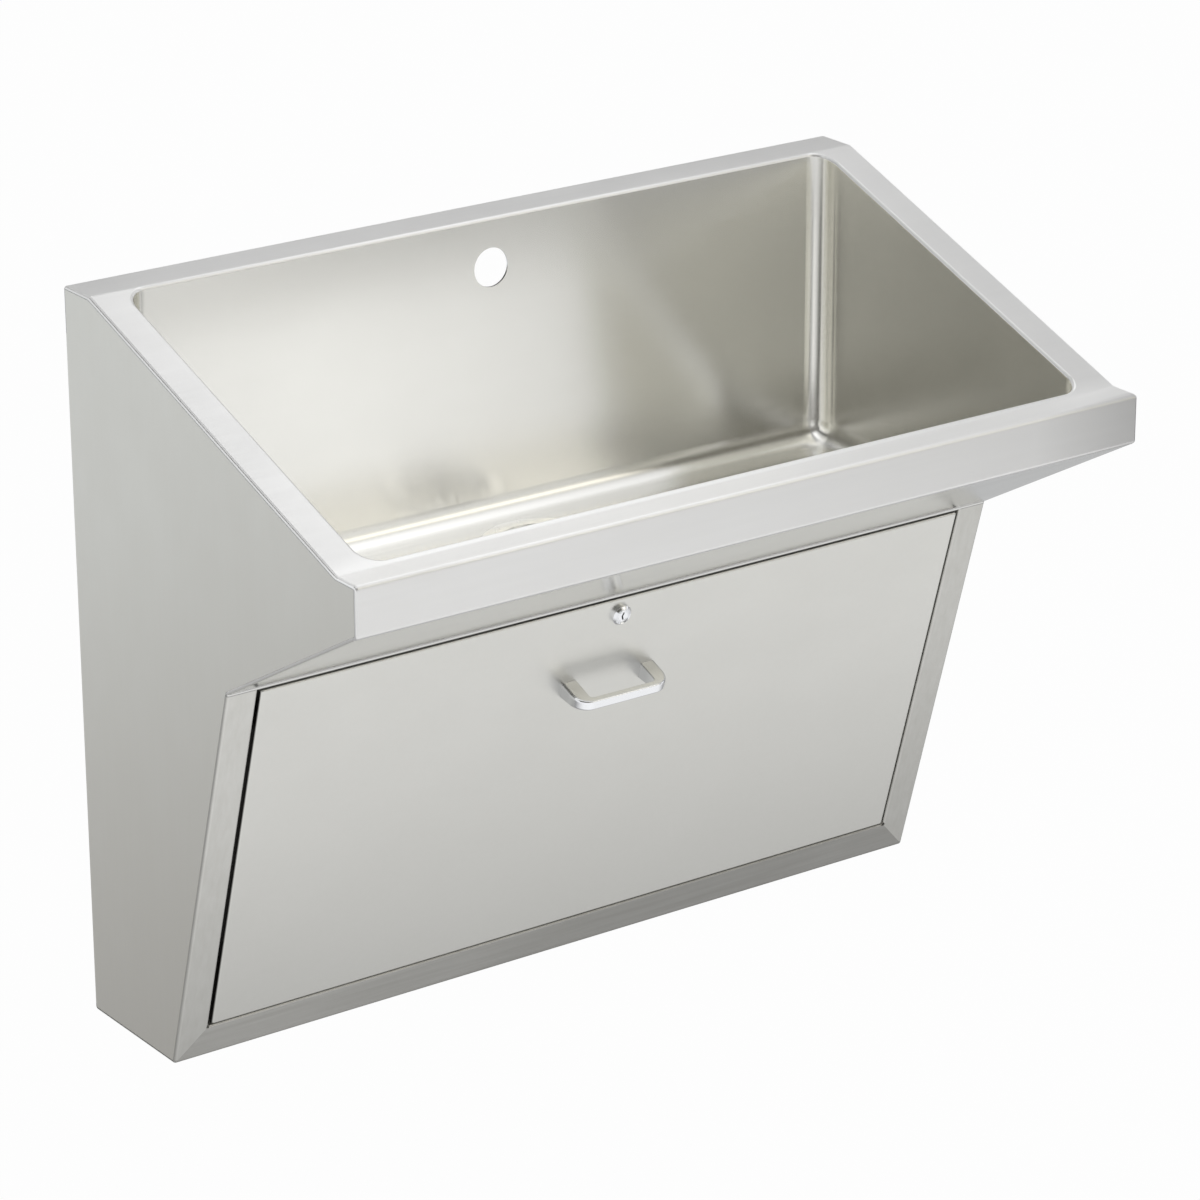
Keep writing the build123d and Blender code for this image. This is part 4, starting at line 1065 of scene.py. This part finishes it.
@dataclass
class Studio:
    """Camera, pale floor, world, soft lamps, and the boards that the metal mirrors."""

    eye: Place = (-2.20054, -3.29390, 1.21414)
    turn: float = -35.4443
    drop: float = 20.8474
    roll: float = -0.1806
    lens: float = 142.9336
    sensor: float = 36.0
    view_end: float = 60.0
    day_colour: Colour = (0.97, 0.985, 1.0)
    day_level: float = 0.6
    warm: Colour = (1.0, 0.965, 0.86)
    cool: Colour = (0.93, 0.97, 1.0)
    floor_paint: Colour = (0.82, 0.82, 0.82)
    floor_height: float = -0.95
    floor_size: float = 14.0
    floor_seen: float = 0.97
    floor_under: float = 0.42
    floor_ahead: float = 0.63
    floor_behind: float = 0.42
    floor_right: float = 0.35
    fade_ahead: Span = (-0.68, -0.15)
    fade_behind: Span = (0.4, 2.0)
    fade_right: Span = (1.6, 2.1)

    def lamps(self) -> tuple[Lamp, ...]:
        """The lamp over the sink and the higher one in front of it."""
        return (Lamp("overhead", (0.25, -0.55, 1.6), 2.1, 2.0, 0.1),
                Lamp("high_front", (1.4, -1.3, 2.5), 3.2, 2.4, 0.25))

    def boards(self) -> tuple[Board, ...]:
        """The ceiling with its soft boxes, the room in front, and the boards round the sink.

        Returns:
            The boards, each ready to be hung.
        """
        dark, dim, plain = (0.05, 0.05), (0.25, 0.25), (0.6, 0.6)
        return (
            Board("ceiling", (-3.5, -2.6, 2.6), (7.0, 0.0, 0.0), (0.0, 5.2, 0.0),
                  (0.15, 0.1, 1.15, 1.7, 0.25, 1.4, 0.9, 0.3),
                  (0.15, 0.15, 0.15, 0.7, 0.25, 1.65, 0.6, 0.3)),
            Board("room_low", (-7.0, -5.0, 0.3), (14.0, 0.0, 0.0), (0.0, 0.0, 2.4),
                  (0.1, 0.1, 0.1, 0.1, 0.1), (0.1, 0.2, 0.2, 2.2, 0.3), self.warm),
            Board("room_high", (-7.0, -5.0, 2.7), (14.0, 0.0, 0.0), (0.0, 0.0, 2.4),
                  (0.1, 0.2, 0.2, 2.2, 0.3), (0.1, 0.1, 0.1, 0.15, 0.1), self.warm),
            Board("right_flag", (3.0, -0.95, -0.33), (0.0, 1.5, 0.0), (0.0, 0.0, 0.66),
                  dark, dark),
            # Painted shade: this board behind the cabinet stands for the shade inside it, as the
            # metal mirrors it through the gaps.
            Board("behind_cabinet", (-0.38, 0.004, -0.57), (0.76, 0.0, 0.0), (0.0, 0.0, 0.45),
                  plain, plain),
            Board("wall", (-0.6, 0.6, -0.1), (2.4, 0.0, 0.0), (0.0, 0.0, 0.48), dim, dim),
        )

    def camera(self) -> None:
        """Sets the camera where the photograph was taken from."""
        data = bpy.data.cameras.new("photo_camera")
        data.lens = self.lens
        data.sensor_width = self.sensor
        data.clip_end = self.view_end
        camera = bpy.data.objects.new("photo_camera", data)
        bpy.context.scene.collection.objects.link(camera)
        aim = Euler((radians(90.0 - self.drop), 0.0, radians(self.turn))).to_matrix().to_4x4()
        rolled = Matrix.Rotation(radians(self.roll), 4, "Z")
        camera.matrix_world = Matrix.Translation(self.eye) @ aim @ rolled
        bpy.context.scene.camera = camera

    def world(self) -> None:
        """White to the camera, mirrors and glass, and even light on the object."""
        world = bpy.data.worlds.new("white_room")
        world.use_nodes = True
        nodes = Nodes(world.node_tree)
        shown = nodes.add("ShaderNodeBackground", Color=rgba(WHITE), Strength=1.0)
        light = nodes.add("ShaderNodeBackground", Color=rgba(self.day_colour),
                          Strength=self.day_level)
        path = nodes.add("ShaderNodeLightPath").outputs
        seen = nodes.maths("MAXIMUM", path["Is Camera Ray"], path["Is Glossy Ray"])
        seen = nodes.maths("MAXIMUM", seen, path["Is Transmission Ray"])
        both = nodes.blended(seen, light.outputs[0], shown.outputs[0])
        nodes.add("ShaderNodeOutputWorld", Surface=both)
        bpy.context.scene.world = world

    def floor(self) -> None:
        """A pale floor below the sink that takes its shadow and is clear from below."""
        half = self.floor_size / 2
        z = self.floor_height
        mesh = bpy.data.meshes.new("floor")
        corners = [(-half, -half, z), (half, -half, z), (half, half, z), (-half, half, z)]
        mesh.from_pydata(corners, [], [(0, 1, 2, 3)])
        floor = bpy.data.objects.new("floor", mesh)
        bpy.context.scene.collection.objects.link(floor)
        material, nodes = new_material("pale_floor")
        paint = nodes.add("ShaderNodeBsdfDiffuse", Color=rgba(self.floor_paint)).outputs[0]
        white = nodes.add("ShaderNodeEmission", Color=rgba(WHITE), Strength=1.0).outputs[0]
        path = nodes.add("ShaderNodeLightPath").outputs
        seen = nodes.maths("MULTIPLY", path["Is Camera Ray"], self.floor_seen)
        mirrored = nodes.maths("MAXIMUM", path["Is Glossy Ray"], path["Is Transmission Ray"])
        below = nodes.add("ShaderNodeNewGeometry").outputs["Backfacing"]
        clear = nodes.add("ShaderNodeBsdfTransparent").outputs[0]
        above = nodes.blended(mirrored, nodes.blended(seen, paint, white),
                              self.floor_in_metal(nodes))
        nodes.surface(nodes.blended(below, above, clear))
        mesh.materials.append(material)

    def floor_in_metal(self, nodes: Nodes) -> Socket:
        """The floor as the metal mirrors it: pale, with painted shade under and just behind the
        sink and far to its right.

        Args:
            nodes: The floor's nodes.

        Returns:
            The floor's own light.
        """
        axes = nodes.add("ShaderNodeSeparateXYZ", Vector=nodes.place()).outputs
        ahead = nodes.spread(axes["Y"], 1.0, 0.0, self.fade_ahead)
        behind = nodes.spread(axes["Y"], 0.0, 1.0, self.fade_behind)
        right = nodes.spread(axes["X"], 1.0, self.floor_right, self.fade_right)
        level = nodes.maths("ADD", nodes.maths("MULTIPLY", ahead, self.floor_ahead),
                            nodes.maths("MULTIPLY", behind, self.floor_behind))
        level = nodes.maths("MULTIPLY", nodes.maths("ADD", level, self.floor_under), right)
        tint = nodes.mixed(behind, rgba(WHITE), rgba(self.cool))
        return nodes.add("ShaderNodeEmission", Color=tint, Strength=level).outputs[0]

    def build(self) -> None:
        """Sets up everything around the sink."""
        bpy.context.scene.view_settings.view_transform = "Standard"
        self.camera()
        self.world()
        self.floor()
        for lamp in self.lamps():
            lamp.build()
        for board in self.boards():
            board.build()


def main() -> None:
    """Builds the studio and every sub-assembly in order."""
    Studio().build()
    log.info("studio set")
    bare = set(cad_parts)
    for assembly in (Basin(), Cabinet(), Drain(), AccessPanel(), PullHandle(), CamLock()):
        assembly.build()
        bare -= set(assembly.finishes)
        log.info("finished %s", type(assembly).__name__)
    for name in sorted(bare):
        log.warning("%s keeps its packed look", name)


if __name__ == "__main__":
    main()
